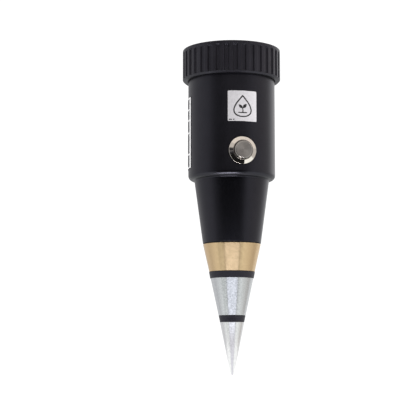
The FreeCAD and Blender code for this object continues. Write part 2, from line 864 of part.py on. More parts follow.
def make_collar():
    """Ribbed ring that screws over the neck and clamps the lens."""
    lip_bottom = size["lens_top"] + size["lens_gap"]
    thread_bore = size["neck_radius"] + size["thread_gap"]
    skirt_bore = size["barrel_radius"] + size["skirt_gap"]
    skirt_top = size["neck_bottom"] + size["skirt_rise"]
    collar = revolve("ribbed_collar", [
        (skirt_bore, size["collar_bottom"]),
        (size["collar_radius"], size["collar_bottom"]),
        (size["collar_radius"], size["overall_height"]),
        (size["window_radius"], size["overall_height"]),
        (size["window_radius"], lip_bottom),
        (thread_bore, lip_bottom),
        (thread_bore, skirt_top),
        (skirt_bore, skirt_top),
    ])
    chamfer_rims(collar, [(size["collar_radius"], size["collar_bottom"])],
                 size["collar_chamfer"])
    round_rims(collar, [(size["collar_radius"], size["overall_height"])],
               size["collar_round"])
    chamfer_rims(collar, [(size["window_radius"], size["overall_height"])],
                 size["window_chamfer"])
    cut_grip(collar)


def cut_grip(collar):
    """Shallow flutes between the ribs, repeated round the collar."""
    floor = size["collar_radius"] - size["rib_depth"]
    sketch = new_sketch(collar, "XY_Plane", size["collar_bottom"] - OVERRUN)
    outside = size["collar_radius"] + size["flute_mouth_reach"]
    draw_polygon(sketch, [
        (floor, size["flute_floor_half"] * -1),
        (outside, size["flute_mouth_half"] * -1),
        (outside, size["flute_mouth_half"]),
        (floor, size["flute_floor_half"]),
    ])
    flute_length = (size["overall_height"] - size["collar_bottom"] - size["flute_lip"]
                    + OVERRUN)
    flute = pocket(collar, sketch, flute_length)
    pattern = collar.newObject("PartDesign::PolarPattern", "collar_flutes")
    pattern.Originals = [flute]
    pattern.Axis = (sketch, ["N_Axis"])
    pattern.Angle = 360.0
    pattern.Occurrences = int(size["rib_count"].value)
    pattern.setExpression("Occurrences", size["rib_count"].text)
    collar.Tip = pattern
    doc.recompute()


def make_lens():
    """Clear window with a skirt that holds the dial down."""
    skirt_end = size["dial_seat"] + size["dial_thickness"] + size["lens_gap"]
    lens = revolve("lens", [
        (0, size["lens_bottom"]),
        (size["lens_skirt_inner"], size["lens_bottom"]),
        (size["lens_skirt_inner"], skirt_end),
        (size["lens_skirt_outer"], skirt_end),
        (size["lens_skirt_outer"], size["lens_bottom"]),
        (size["lens_radius"], size["lens_bottom"]),
        (size["lens_radius"], size["lens_top"]),
        (0, size["lens_top"]),
    ])
    round_rims(lens, [(size["lens_radius"], size["lens_top"])], size["lens_round"])
    gasket_bottom = size["lens_bottom"] - size["lens_gasket_thickness"]
    gasket_inner = size["lens_skirt_outer"] + size["lens_gasket_gap"]
    keep(tube("lens_gasket", size["lens_radius"], gasket_inner,
              size["lens_gasket_thickness"], 0, 0, gasket_bottom), "lens_gasket")


def make_meter_case():
    """Moulded cup that hangs from the neck and carries the movement and the dial."""
    inner = size["case_radius"] - size["case_wall"]
    floor_top = size["case_bottom"] + size["case_floor"]
    flange_top = size["lens_bottom"] - size["lens_gasket_thickness"]
    throat = size["neck_radius"] - size["thread_gap"]
    ledge_bottom = size["dial_seat"] - size["ledge_depth"]
    case = revolve("meter_case", [
        (0, size["case_bottom"]),
        (size["case_radius"], size["case_bottom"]),
        (size["case_radius"], size["neck_top"]),
        (throat, size["neck_top"]),
        (throat, flange_top),
        (inner, flange_top),
        (inner, size["dial_seat"]),
        (size["dial_ledge_radius"], size["dial_seat"]),
        (size["dial_ledge_radius"], ledge_bottom),
        (inner, ledge_bottom - size["ledge_slope"]),
        (inner, floor_top),
        (0, floor_top),
    ])
    post_bottom = size["case_bottom"] + size["post_sink"]
    posts = new_sketch(case, "XY_Plane", post_bottom)
    places = [(size["mask_screw_x"] * side, size["mask_screw_y"] * -1) for side in (-1, 1)]
    for x, y in places:
        draw_circle(posts, x, y, size["post_radius"])
    pad(case, posts, size["dial_seat"] - post_bottom)
    holes = [(x, y, size["mask_screw_radius"]) for x, y in places]
    drill(case, "XY_Plane", holes, size["dial_seat"] - size["post_hole_depth"],
          size["post_hole_depth"] + OVERRUN)
    floor_holes = []
    for side in (-1, 1):
        floor_holes.append((size["pillar_offset"] * side, size["pivot_offset"] * -1,
                            size["pillar_radius"]))
        floor_holes.append((size["stud_x"] * side, size["stud_y"], size["stud_radius"]))
    drill(case, "XY_Plane", floor_holes, size["case_bottom"] - OVERRUN,
          size["case_floor"] + 2 * OVERRUN)


def make_dial():
    """Printed dial plate, its raised lower cover and the screws through both."""
    plate = new_body("dial_plate")
    sketch = new_sketch(plate, "XY_Plane", size["dial_seat"])
    draw_circle(sketch, 0, 0, size["dial_radius"])
    draw_circle(sketch, 0, size["pivot_offset"] * -1, size["dial_hole_radius"])
    for side in (-1, 1):
        draw_circle(sketch, size["mask_screw_x"] * side, size["mask_screw_y"] * -1,
                    size["mask_hole_radius"])
    pad(plate, sketch, size["dial_thickness"])
    make_mask()
    screws = []
    mask_top = size["mask_level"] + size["mask_thickness"]
    for side in (-1, 1):
        x, y = size["mask_screw_x"] * side, size["mask_screw_y"] * -1
        shank_start = size["dial_seat"] - size["mask_screw_depth"]
        shank = cylinder("mask_shank", size["mask_screw_radius"], mask_top - shank_start, x, y,
                         shank_start)
        head = cylinder("mask_head", size["mask_head_radius"], size["mask_head_height"], x, y,
                        mask_top)
        slot_depth = size["mask_head_height"] / 2
        slot = box("mask_slot", size["mask_head_radius"] * 2 + OVERRUN, size["mask_slot_width"],
                   slot_depth, x, y, mask_top + slot_depth)
        screws.append(cut("mask_screw", fuse("mask_screw_body", shank, head), slot))
    group("mask_screws", screws)


def make_mask():
    """Lower cover of the dial: a segment of a disc on two hollow legs."""
    disc = cylinder("mask_disc", size["mask_radius"], size["mask_thickness"], 0, 0,
                    size["mask_level"])
    width = size["mask_radius"] * 2 + 2 * OVERRUN
    keep_depth = size["mask_radius"] - size["mask_edge"] + OVERRUN
    segment = box("mask_keep", width, keep_depth, size["mask_thickness"], 0,
                  size["mask_edge"] * -1 - keep_depth / 2, size["mask_level"])
    plate = doc.addObject("Part::Common", "mask_plate")
    plate.Base, plate.Tool = disc, segment
    pieces, bores = [plate], []
    leg_bottom = size["dial_seat"] + size["dial_thickness"]
    for side in (-1, 1):
        x, y = size["mask_screw_x"] * side, size["mask_screw_y"] * -1
        leg = size["mask_level"] - leg_bottom
        pieces.append(cylinder("mask_leg", size["mask_leg_radius"], leg, x, y, leg_bottom))
        bore_length = leg + size["mask_thickness"] + 2 * OVERRUN
        bores.append(cylinder("mask_bore", size["mask_hole_radius"], bore_length, x, y,
                              leg_bottom - OVERRUN))
    cover = cut("dial_mask", fuse("mask_body", *pieces), fuse("mask_bores", *bores))
    keep(cover, "dial_mask")


# ---------------------------------------------------------------- moving coil movement

def make_magnet_system():
    """Soft iron yoke ring, magnet core and the two spacers that hold the core inside it."""
    height = size["yoke_top"] - size["yoke_bottom"]
    yoke = revolve("yoke_ring", [
        (size["yoke_inner"], size["yoke_bottom"]),
        (size["yoke_outer"], size["yoke_bottom"]),
        (size["yoke_outer"], size["yoke_top"]),
        (size["yoke_inner"], size["yoke_top"]),
    ], PIVOT_PLACE)
    holes = [(size["pillar_offset"] * side, 0, size["pillar_radius"]) for side in (-1, 1)]
    drill(yoke, "XY_Plane", holes, size["yoke_bottom"] - OVERRUN, height + 2 * OVERRUN)
    keep(placed(group_of("core_holder", cylinder(
        "core", size["core_radius"], height, 0, 0, size["yoke_bottom"])), PIVOT_PLACE),
        "core_magnet")
    ring = tube("spacer_ring", size["yoke_inner"], size["core_radius"], height, 0, 0,
                size["yoke_bottom"])
    bar = box("spacer_bar", size["core_web_width"], size["yoke_outer"] * 2, height, 0, 0,
              size["yoke_bottom"])
    webs = doc.addObject("Part::Common", "core_webs")
    webs.Base, webs.Tool = ring, bar
    group("core_spacers", [webs], PIVOT_PLACE)


def bridge(label, level, bore):
    """A flat bar across the movement, drilled for two pillars and a jewel screw."""
    body = new_body(label, PIVOT_PLACE)
    sketch = new_sketch(body, "XY_Plane", level)
    half, end = size["bridge_half_width"], size["pillar_offset"] + size["bridge_overhang"]
    draw_polygon(sketch, [(end * -1, half * -1), (end, half * -1), (end, half), (end * -1, half)])
    for side in (-1, 1):
        draw_circle(sketch, size["pillar_offset"] * side, 0, size["pillar_radius"])
    draw_circle(sketch, 0, 0, bore)
    pad(body, sketch, size["bridge_thickness"])
    return body


def jewel_screw(name, level, height, cup_start, cup_end):
    """A bearing screw with a blind cup for the pivot at one end."""
    cup_radius = size["pivot_radius"] + 0.05
    screw = cylinder(name, size["jewel_radius"], height, 0, 0, level)
    cup = cylinder(name + "_cup", cup_radius, cup_end - cup_start, 0, 0, cup_start)
    return cut(name + "_drilled", screw, cup)


def make_bridges():
    bridge("upper_bridge", size["upper_bridge_bottom"], size["jewel_radius"])
    bridge("lower_bridge", size["lower_bridge_bottom"], size["jewel_radius"])
    upper, lower = size["upper_bridge_bottom"] + 0.1, size["lower_bridge_bottom"] - 0.4
    group("jewel_screws", [
        jewel_screw("upper_screw", upper, 1.4, upper, upper + 0.6),
        jewel_screw("lower_screw", lower, 1.7, lower + 1.2, lower + 1.7),
    ], PIVOT_PLACE)
    spacers, screws = [], []
    floor_top = size["case_bottom"] + size["case_floor"]
    lower_top = size["lower_bridge_bottom"] + size["bridge_thickness"]
    upper_top = size["upper_bridge_bottom"] + size["bridge_thickness"]
    levels = [
        (floor_top, size["lower_bridge_bottom"]),
        (lower_top, size["yoke_bottom"]),
        (size["yoke_top"], size["upper_bridge_bottom"]),
    ]
    for side in (-1, 1):
        x = size["pillar_offset"] * side
        for low, high in levels:
            spacers.append(tube("movement_spacer", size["spacer_radius"],
                                size["pillar_radius"], high - low, x, 0, low))
        shank_start = size["case_bottom"] + size["movement_screw_bite"]
        shank = cylinder("movement_shank", size["pillar_radius"], upper_top - shank_start,
                         x, 0, shank_start)
        head = cylinder("movement_head", size["movement_head_radius"],
                        size["movement_head_height"], x, 0, upper_top)
        screws.append(fuse("movement_screw", shank, head))
    group("movement_spacers", spacers, PIVOT_PLACE)
    group("movement_screws", screws, PIVOT_PLACE)
    make_zero_adjuster(upper_top)


def make_zero_adjuster(level):
    """Arm clamped on the upper jewel screw that holds the outer end of the hairspring."""
    thickness = Size(0.25)
    ring = cylinder("adjuster_ring", 1.9, thickness, 0, 0, level)
    arm = box("adjuster_arm", 0.8, 3.4, thickness, 0, Size(-1.7), level)
    finger_bottom = size["upper_bridge_bottom"] - 0.3
    finger = box("adjuster_finger", 0.8, 0.35, level + thickness - finger_bottom, 0,
                 Size(-3.2), finger_bottom)
    bore = cylinder("adjuster_bore", size["jewel_radius"], thickness, 0, 0, level)
    arm_body = cut("adjuster", fuse("adjuster_body", ring, arm, finger), bore)
    keep(placed(group_of("adjuster_holder", arm_body), PIVOT_PLACE), "zero_adjuster")


def coil_frame(name, inner, outer, half_width, bottom, top, thickness):
    """A rectangular loop that stands round the core."""
    outside = box(name + "_outside", as_size(outer) * 2, as_size(half_width) * 2,
                  top - bottom, 0, 0, bottom)
    hole = box(name + "_hole", as_size(inner) * 2, as_size(half_width) * 2 + 1,
               top - bottom - as_size(thickness) * 2, 0, 0, bottom + thickness)
    return cut(name, outside, hole)


def make_moving_coil():
    """Aluminium former, copper winding, pivots and balance weights, parked with the pointer."""
    former = coil_frame("former_loop", size["coil_inner"], size["coil_inner"] + 0.35,
                        size["coil_half_width"], size["coil_bottom"] + 0.45,
                        size["coil_top"] - 0.45, 0.35)
    keep(placed(group_of("former_holder", former), PARKED_PLACE), "coil_former")
    winding = coil_frame("winding_loop", size["coil_inner"] + 0.35, size["coil_outer"],
                         size["coil_half_width"] - 0.2, size["coil_bottom"],
                         size["coil_top"], 0.45)
    keep(placed(group_of("winding_holder", winding), PARKED_PLACE), "coil_winding")
    hub, collet = Size(1.2), Size(0.55)
    pointer_bottom = size["coil_top"] + size["pointer_root_rise"]
    pointer_top = pointer_bottom + size["pointer_thickness"]
    revolve("upper_pivot", [
        (0, size["coil_top"]),
        (hub, size["coil_top"]),
        (hub, pointer_bottom),
        (collet, pointer_bottom),
        (collet, pointer_top + 0.3),
        (size["pivot_radius"], pointer_top + 0.3),
        (size["pivot_radius"], size["upper_bridge_bottom"] + 0.6),
        (0, size["upper_bridge_bottom"] + 0.68),
    ], PARKED_PLACE)
    revolve("lower_pivot", [
        (0, size["coil_bottom"]),
        (hub - 0.2, size["coil_bottom"]),
        (hub - 0.2, size["coil_bottom"] - 0.6),
        (collet, size["coil_bottom"] - 0.6),
        (collet, size["coil_bottom"] - 1.3),
        (size["pivot_radius"], size["coil_bottom"] - 1.3),
        (size["pivot_radius"], size["lower_bridge_bottom"] + 0.9),
        (0, size["lower_bridge_bottom"] + 0.82),
    ], PARKED_PLACE)


def make_pointer():
    """Thin bent strip: root under the bridge, riser through the dial and tapered arm above it."""
    root_level = size["coil_top"] + size["pointer_root_rise"]
    thickness = size["pointer_thickness"]
    riser = size["pointer_riser"]
    pointer = new_body("pointer", PARKED_PLACE)
    root = new_sketch(pointer, "XY_Plane", root_level)
    half = Size(0.35)
    draw_polygon(root, [(half * -1, Size(-3.9)), (half, Size(-3.9)),
                        (half, riser + thickness), (half * -1, riser + thickness)])
    pad(pointer, root, thickness)
    boss = new_sketch(pointer, "XY_Plane", root_level)
    draw_circle(boss, 0, 0, 1.1)
    pad(pointer, boss, thickness)
    upright = new_sketch(pointer, "XY_Plane", root_level)
    draw_polygon(upright, [(half * -1, riser), (half, riser),
                           (half, riser + thickness), (half * -1, riser + thickness)])
    pad(pointer, upright, size["pointer_level"] + thickness - root_level)
    arm = new_sketch(pointer, "XY_Plane", size["pointer_level"])
    broad, point = Size(0.75), Size(0.2)
    draw_polygon(arm, [(half * -1, riser), (half, riser), (broad, riser + 3),
                       (point, size["pointer_reach"]), (point * -1, size["pointer_reach"]),
                       (broad * -1, riser + 3)])
    pad(pointer, arm, thickness)
    drill(pointer, "XY_Plane", [(0, 0, 0.55)], root_level - 0.1, 0.5)
    weights = []
    for y in (-2.2, -3.4):
        weights.append(box("balance_weight", 1.5, 0.8, 0.4, 0, Size(y), root_level - 0.4))
    group("balance_weights", weights, PARKED_PLACE)


def spiral_ribbon(inner, pitch, turns, ribbon, height):
    """A flat spiral strip, from the formula radius = inner + pitch * turns."""
    def rail(offset):
        points = []
        steps = int(turns * 12)
        for i in range(steps + 1):
            angle = 2 * math.pi * turns * i / steps
            radius = inner + offset + pitch * turns * i / steps
            points.append(Vector(radius * math.cos(angle), radius * math.sin(angle), 0))
        curve = Part.BSplineCurve()
        curve.interpolate(points)
        return curve.toShape(), points[0], points[-1]

    near, near_start, near_end = rail(0)
    far, far_start, far_end = rail(ribbon)
    edges = [near, Part.makeLine(near_end, far_end), far, Part.makeLine(far_start, near_start)]
    face = Part.Face(Part.Wire(Part.__sortEdges__(edges)))
    return face.extrude(Vector(0, 0, height))


def make_hairsprings():
    upper = spiral_ribbon(0.58, 0.42, 5, 0.1, 0.2)
    upper.translate(Vector(0, 0, millimetres("upper_bridge_bottom") - 0.28))
    feature("upper_hairspring", upper, PARKED_PLACE)
    lower = spiral_ribbon(0.58, 0.42, 5, 0.1, 0.2)
    lower.translate(Vector(0, 0, millimetres("coil_bottom") - 1.1))
    feature("lower_hairspring", lower, PARKED_PLACE)


# ---------------------------------------------------------------- wiring

def make_meter_terminals():
    """Two brass studs in the floor of the case, each with a nut and a solder tag."""
    studs, nuts, tags = [], [], []
    for side in (-1, 1):
        x, y = size["stud_x"] * side, size["stud_y"]
        head_level = size["case_bottom"] + size["case_floor"]
        shank = cylinder("stud_shank", size["stud_radius"], size["stud_length"], x, y,
                         head_level - size["stud_length"])
        head = cylinder("stud_head", size["stud_head_radius"], size["stud_head_height"], x, y,
                        head_level)
        studs.append(fuse("meter_stud", shank, head))
        nut_bottom = size["case_bottom"] - size["stud_nut_height"]
        nuts.append(hex_nut("stud_nut", size["stud_nut_flats"], size["stud_radius"],
                            size["stud_nut_height"], x, y, nut_bottom))
        tags.append(tube("solder_tag", size["solder_tag_radius"], size["stud_radius"],
                         size["solder_tag_thickness"], x, y,
                         nut_bottom - size["solder_tag_thickness"]))
    group("meter_studs", studs)
    group("stud_nuts", nuts)
    group("meter_solder_tags", tags)


def tag_bottom():
    """Underside of the solder tags on the meter's studs."""
    return (millimetres("case_bottom") - millimetres("stud_nut_height")
            - millimetres("solder_tag_thickness"))


def make_resistor():
    """Axial resistor between the switch lead and one meter tag."""
    y = millimetres("stud_y")
    z = millimetres("case_bottom") - millimetres("resistor_drop")
    end = millimetres("resistor_length") / 2
    wire = millimetres("resistor_lead_radius")
    reach = millimetres("resistor_lead_reach")
    along = Vector(1, 0, 0)
    body = Part.makeCylinder(millimetres("resistor_radius"), 2 * end, Vector(-end, y, z), along)
    rims = [edge for edge in body.Edges if isinstance(edge.Curve, Part.Circle)]
    body = body.makeFillet(millimetres("resistor_round"), rims)
    short = Part.makeCylinder(wire, reach, Vector(-end - reach, y, z), along)
    tag_x = millimetres("stud_x") - 2.4
    bend = round_path([Vector(end, y, z), Vector(tag_x, y, z), Vector(tag_x, y, tag_bottom())],
                      millimetres("resistor_lead_bend"))
    long = sweep_circle(bend, wire)
    feature("calibration_resistor", Part.makeCompound([body, short, long]))


def round_path(points, radius=None):
    """Straight runs joined by tangent arcs. Without a radius each arc is as large as fits."""
    edges, start = [], points[0]
    for before, corner, after in zip(points, points[1:], points[2:]):
        incoming, outgoing = corner - before, after - corner
        turn = incoming.getAngle(outgoing)
        shorter = min(incoming.Length, outgoing.Length)
        bend = radius or 0.45 * shorter / math.tan(turn / 2)
        trim = bend * math.tan(turn / 2)
        entry = corner - Vector(incoming).normalize() * trim
        leave = corner + Vector(outgoing).normalize() * trim
        inward = (Vector(outgoing).normalize() - Vector(incoming).normalize()).normalize()
        middle = corner + inward * (bend / math.cos(turn / 2) - bend)
        edges.append(Part.LineSegment(start, entry).toShape())
        edges.append(Part.Arc(entry, middle, leave).toShape())
        start = leave
    edges.append(Part.LineSegment(start, points[-1]).toShape())
    return Part.Wire(edges)


def sweep_circle(path, radius):
    first = path.Edges[0]
    direction = first.tangentAt(first.FirstParameter)
    ring = Part.Wire([Part.makeCircle(radius, first.valueAt(first.FirstParameter), direction)])
    return path.makePipeShell([ring], True, False)


def lead(label, points):
    """An insulated hook-up wire along a route of straight runs and large arcs."""
    radius = millimetres("lead_radius")
    path = round_path([Vector(*p) for p in points])
    wire = sweep_circle(path, radius)
    expected = math.pi * radius ** 2 * path.Length
    if abs(wire.Volume / expected - 1) > 0.02:
        raise RuntimeError(f"{label}: the volume is {wire.Volume:.1f}, not {expected:.1f}")
    bends = [edge.Curve.Radius for edge in path.Edges if isinstance(edge.Curve, Part.Circle)]
    print(f"{label}: {path.Length:.0f} mm long, tightest bend {min(bends):.1f} mm")
    feature(label, wire)


def make_leads():
    """Four leads. Each starts and ends square on the tag or pin that it is soldered to."""
    circle = millimetres("lead_circle")
    brass_x = -millimetres("brass_lead_place")
    tag_level = tag_bottom()
    tag_x, tag_y = millimetres("stud_x") + 1.45, millimetres("stud_y") + 1.9
    switch_z = millimetres("button_height")
    pin_x = millimetres("terminal_offset")
    pin_y = -millimetres("terminal_end")
    lug_top = (millimetres("upper_ring_top") + millimetres("brass_web")
               + millimetres("lug_thickness"))
    aluminium_lug = (millimetres("aluminium_top") - millimetres("lug_recess_depth")
                     + millimetres("lug_thickness"))
    rod_lug = (millimetres("housing_bottom") + millimetres("floor_thickness")
               + millimetres("floor_boss_rise") + millimetres("tie_washer_thickness")
               + millimetres("lug_thickness"))
    resistor_z = millimetres("case_bottom") - millimetres("resistor_drop")
    lead("lead_brass", [
        (brass_x, 0, lug_top), (brass_x, 0, 76), (-9.5, 3.5, 94), (-10.5, 8.5, 110),
        (-tag_x, tag_y, 119), (-tag_x, tag_y, tag_level),
    ])
    lead("lead_aluminium", [
        (0, circle, aluminium_lug), (0, circle, 74), (3.5, 10.5, 92), (9, 11.5, 108),
        (tag_x, tag_y, 118), (tag_x, tag_y, tag_level),
    ])
    lead("lead_tip", [
        (6.6, 0, rod_lug), (6.6, 0, 82), (5, 4.5, 95), (pin_x, 5, 105),
        (pin_x, 0.5, switch_z), (pin_x, pin_y, switch_z),
    ])
    lead("lead_switch", [
        (-pin_x, pin_y, switch_z), (-pin_x, 0.5, switch_z), (-3.6, 5.4, 112),
        (-4.5, 8, 117.5), (-4.5, 8, resistor_z - 0.3),
    ])


# ---------------------------------------------------------------- assembly

def check_document():
    doc.recompute()
    failed = [o.Name for o in doc.Objects if "Invalid" in o.State or "Error" in o.State]
    if failed:
        raise RuntimeError(f"failed objects: {failed}")
    for item in subparts:
        shape = item.Shape
        if shape.isNull() or not shape.isValid() or not shape.Solids:
            raise RuntimeError(f"{item.Label} has no valid solid")


def export_subparts():
    os.makedirs("parts", exist_ok=True)
    for item in subparts:
        item.Shape.exportStep(f"parts/{item.Label}.step")
    print(f"{len(subparts)} sub-parts written")


make_tip_electrode()
make_insulator_rings()
make_aluminium_electrode()
make_brass_electrode()
make_stack_hardware()
make_housing()
make_labels()
make_switch_fixed()
make_button()
make_button_spring()
make_collar()
make_lens()
make_meter_case()
make_dial()
make_magnet_system()
make_bridges()
make_moving_coil()
make_pointer()
make_hairsprings()
make_meter_terminals()
make_resistor()
make_leads()
check_document()
export_subparts()
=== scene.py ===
import json
import math
import random

import bmesh
import bpy
from mathutils import Matrix, Vector


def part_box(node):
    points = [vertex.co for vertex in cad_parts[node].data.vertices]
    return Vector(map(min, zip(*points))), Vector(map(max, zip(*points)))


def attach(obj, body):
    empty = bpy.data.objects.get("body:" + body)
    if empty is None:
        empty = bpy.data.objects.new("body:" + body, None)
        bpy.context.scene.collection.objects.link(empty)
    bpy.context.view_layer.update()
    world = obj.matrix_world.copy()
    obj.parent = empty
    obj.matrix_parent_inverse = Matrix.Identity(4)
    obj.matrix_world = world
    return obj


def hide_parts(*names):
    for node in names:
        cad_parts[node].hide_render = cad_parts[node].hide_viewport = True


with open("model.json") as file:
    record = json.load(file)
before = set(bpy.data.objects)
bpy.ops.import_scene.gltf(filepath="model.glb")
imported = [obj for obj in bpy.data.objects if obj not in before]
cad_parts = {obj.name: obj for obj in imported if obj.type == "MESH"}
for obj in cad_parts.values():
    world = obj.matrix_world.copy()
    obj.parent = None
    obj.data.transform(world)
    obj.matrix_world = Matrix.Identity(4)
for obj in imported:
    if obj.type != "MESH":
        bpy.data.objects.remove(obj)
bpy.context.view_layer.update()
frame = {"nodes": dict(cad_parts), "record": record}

# Lengths are in millimetres and angles in degrees. A place round the meter is an angle from the
# button's side, -Y, positive towards +X. Pieces become metres when they are finished.
MM = 0.001

# ---------------------------------------------------------------- places read from the frame


def box_mm(node):
    """Lowest and highest corner of a CAD node, in millimetres."""
    low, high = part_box(node)
    return Vector(low) / MM, Vector(high) / MM


BARREL_RADIUS = box_mm("housing")[1].x
COLLAR_LOW, COLLAR_HIGH = box_mm("ribbed_collar")
COLLAR_RADIUS = min(COLLAR_HIGH.x, COLLAR_HIGH.y, -COLLAR_LOW.x, -COLLAR_LOW.y)
BUTTON_LOW, BUTTON_HIGH = box_mm("button_cap")
BUTTON_HEIGHT = (BUTTON_LOW.z + BUTTON_HIGH.z) / 2
# A switch piece is drawn with Z pointing out of the housing and laid down on its own axis.
SWITCH_PLACE = Matrix.Translation((0, 0, BUTTON_HEIGHT)) @ Matrix.Rotation(math.radians(90), 4, "X")
PIVOT_LOW, PIVOT_HIGH = box_mm("upper_pivot")
PIVOT_Y = (PIVOT_LOW.y + PIVOT_HIGH.y) / 2
DIAL_TOP = box_mm("dial_plate")[1].z
MASK_TOP = box_mm("dial_mask")[1].z

# ---------------------------------------------------------------- camera

CAMERA_AZIMUTH = -14.5
CAMERA_DISTANCE = 665.0
CAMERA_HEIGHT = 4.9
CAMERA_PITCH = 7.0
CAMERA_PAN = 1.364
CAMERA_LENS = 120.96
CAMERA_SENSOR = 36.0
CAMERA_NEAR = 10.0
CAMERA_REACH = 12000.0


def round_the_meter(radius, angle, height=0.0):
    """A point at an angle from the button's side."""
    turn = math.radians(angle)
    return Vector((radius * math.sin(turn), -radius * math.cos(turn), height))


def make_camera():
    """A long lens a little below the middle of the meter, tilted up at it."""
    data = bpy.data.cameras.new("camera")
    data.lens, data.sensor_width = CAMERA_LENS, CAMERA_SENSOR
    data.clip_start, data.clip_end = CAMERA_NEAR * MM, CAMERA_REACH * MM
    camera = bpy.data.objects.new("camera", data)
    camera.location = round_the_meter(CAMERA_DISTANCE, CAMERA_AZIMUTH, CAMERA_HEIGHT) * MM
    camera.rotation_euler = (math.radians(90 + CAMERA_PITCH), 0,
                             math.radians(CAMERA_AZIMUTH + CAMERA_PAN))
    bpy.context.scene.collection.objects.link(camera)
    bpy.context.scene.camera = camera


# ---------------------------------------------------------------- node trees


class Tree:
    """Short calls that build a node tree. A value is a number, a colour or another node's output."""

    def __init__(self, tree):
        self.tree = tree
        tree.nodes.clear()

    def feed(self, socket, value):
        """Links a node's output to a socket, or sets the socket to a number or a colour."""
        if isinstance(value, bpy.types.NodeSocket):
            self.tree.links.new(value, socket)
        elif socket.type == "RGBA" and len(value) == 3:
            socket.default_value = (*value, 1)
        else:
            socket.default_value = value

    def add(self, kind, inputs, **settings):
        node = self.tree.nodes.new("ShaderNode" + kind)
        for name, value in settings.items():
            setattr(node, name, value)
        for key, value in inputs.items():
            self.feed(node.inputs[key], value)
        return node

    def calc(self, operation, *values):
        """One sum on numbers."""
        inputs = dict(enumerate(values))
        return self.add("Math", inputs, operation=operation).outputs[0]

    def fade(self, value, low, high, start=0.0, end=1.0):
        """Goes smoothly from start to end while the value goes from low to high."""
        inputs = {"Value": value, "From Min": low, "From Max": high, "To Min": start, "To Max": end}
        return self.add("MapRange", inputs, interpolation_type="SMOOTHSTEP").outputs[0]

    def mix(self, factor, first, second):
        """The first colour at 0 and the second at 1."""
        return self.add("Mix", {0: factor, 6: first, 7: second}, data_type="RGBA").outputs[2]

    def place(self, stretch=(1, 1, 1)):
        """The object's own coordinates in millimetres, stretched along its axes."""
        coordinates = self.add("TexCoord", {}).outputs["Object"]
        scale = tuple(factor / MM for factor in stretch)
        return self.add("Mapping", {"Vector": coordinates, "Scale": scale}).outputs[0]

    def noise(self, size, detail=2.0, rough=0.5, stretch=(1, 1, 1)):
        """Smooth noise whose blobs are about this many millimetres across."""
        inputs = {"Vector": self.place(stretch), "Scale": 1 / size, "Detail": detail,
                  "Roughness": rough}
        return self.add("TexNoise", inputs, noise_dimensions="4D").outputs["Fac"]

    def bump(self, height, depth):
        """A normal that a height from 0 to 1 tilts, for relief of this depth in millimetres."""
        inputs = {"Height": height, "Distance": depth * MM, "Strength": 1.0}
        return self.add("Bump", inputs).outputs[0]

    def surface(self, inputs):
        """The material's principled shader, which is also returned."""
        shader = self.add("BsdfPrincipled", inputs)
        self.add("OutputMaterial", {"Surface": shader.outputs[0]})
        return shader


def new_material(name):
    material = bpy.data.materials.new(name)
    material.use_nodes = True
    return material, Tree(material.node_tree)


# ---------------------------------------------------------------- materials


def moulded(name, colour, roughness, grain=0.3, depth=0.012, specular=0.5, tint=(1, 1, 1)):
    """Moulded plastic or rubber: spark-eroded grain, slightly uneven colour and gloss."""
    material, tree = new_material(name)
    cloudy = tree.noise(6.0, 3.0)
    specks = tree.noise(grain, 2.0, 0.6)
    lighter = tuple(channel * 1.25 + 0.0008 for channel in colour)
    tree.surface({
        "Base Color": tree.mix(tree.fade(cloudy, 0.3, 0.7), colour, lighter),
        "Roughness": tree.fade(specks, 0.25, 0.75, roughness - 0.04, roughness + 0.04),
        "Specular IOR Level": specular,
        "Specular Tint": tint,
        "Normal": tree.bump(specks, depth),
    })
    return material


# The tool's rings on turned metal: how far apart they are, and how far the noise that draws them
# is drawn out along them.
RING_PITCH = 0.12
RING_DRAW = 0.04


def turned(name, light, dark, roughness, patch=1.1, spread=0.06, stretch_gloss=0.0, axis="Z",
           depth=0.002):
    """Metal turned on a lathe: fine rings, patchy tarnish and gloss drawn out across the rings."""
    material, tree = new_material(name)
    tarnish = tree.noise(patch, 5.0, 0.62)
    across_rings = {"Y": (RING_DRAW, 1, RING_DRAW), "Z": (RING_DRAW, RING_DRAW, 1)}[axis]
    rings = tree.noise(RING_PITCH, 3.0, 0.6, across_rings)
    worn = tree.fade(tarnish, 0.35, 0.65)
    tangent = tree.add("Tangent", {}, direction_type="RADIAL", axis=axis).outputs[0]
    tree.surface({
        "Base Color": tree.mix(worn, dark, light),
        "Metallic": 1.0,
        "Roughness": tree.fade(tarnish, 0.3, 0.7, roughness + spread, roughness - spread),
        "Anisotropic": stretch_gloss,
        "Anisotropic Rotation": 0.25,
        "Tangent": tangent,
        "Normal": tree.bump(rings, depth),
    })
    return material


def pressed(name, light, dark, roughness):
    """Stamped, drawn or cast metal with an uneven, slightly pitted skin."""
    material, tree = new_material(name)
    tarnish = tree.noise(1.6, 4.0, 0.6)
    pits = tree.noise(0.15, 2.0)
    tree.surface({
        "Base Color": tree.mix(tree.fade(tarnish, 0.3, 0.7), dark, light),
        "Metallic": 1.0,
        "Roughness": tree.fade(tarnish, 0.3, 0.7, roughness + 0.08, roughness - 0.04),
        "Normal": tree.bump(pits, 0.003),
    })
    return material


def printed(name, colour, roughness=0.5, metallic=0.0, fibre=0.5):
    """Paper, foil or ink: soft blotches of tone and a faint surface texture."""
    material, tree = new_material(name)
    blotches = tree.noise(fibre * 3, 4.0, 0.6)
    texture = tree.noise(fibre * 0.3, 2.0)
    darker = tuple(channel * 0.9 for channel in colour)
    tree.surface({
        "Base Color": tree.mix(tree.fade(blotches, 0.3, 0.7), darker, colour),
        "Metallic": metallic,
        "Roughness": tree.fade(texture, 0.2, 0.8, roughness - 0.06, roughness + 0.06),
        "Normal": tree.bump(texture, 0.003),
    })
    return material


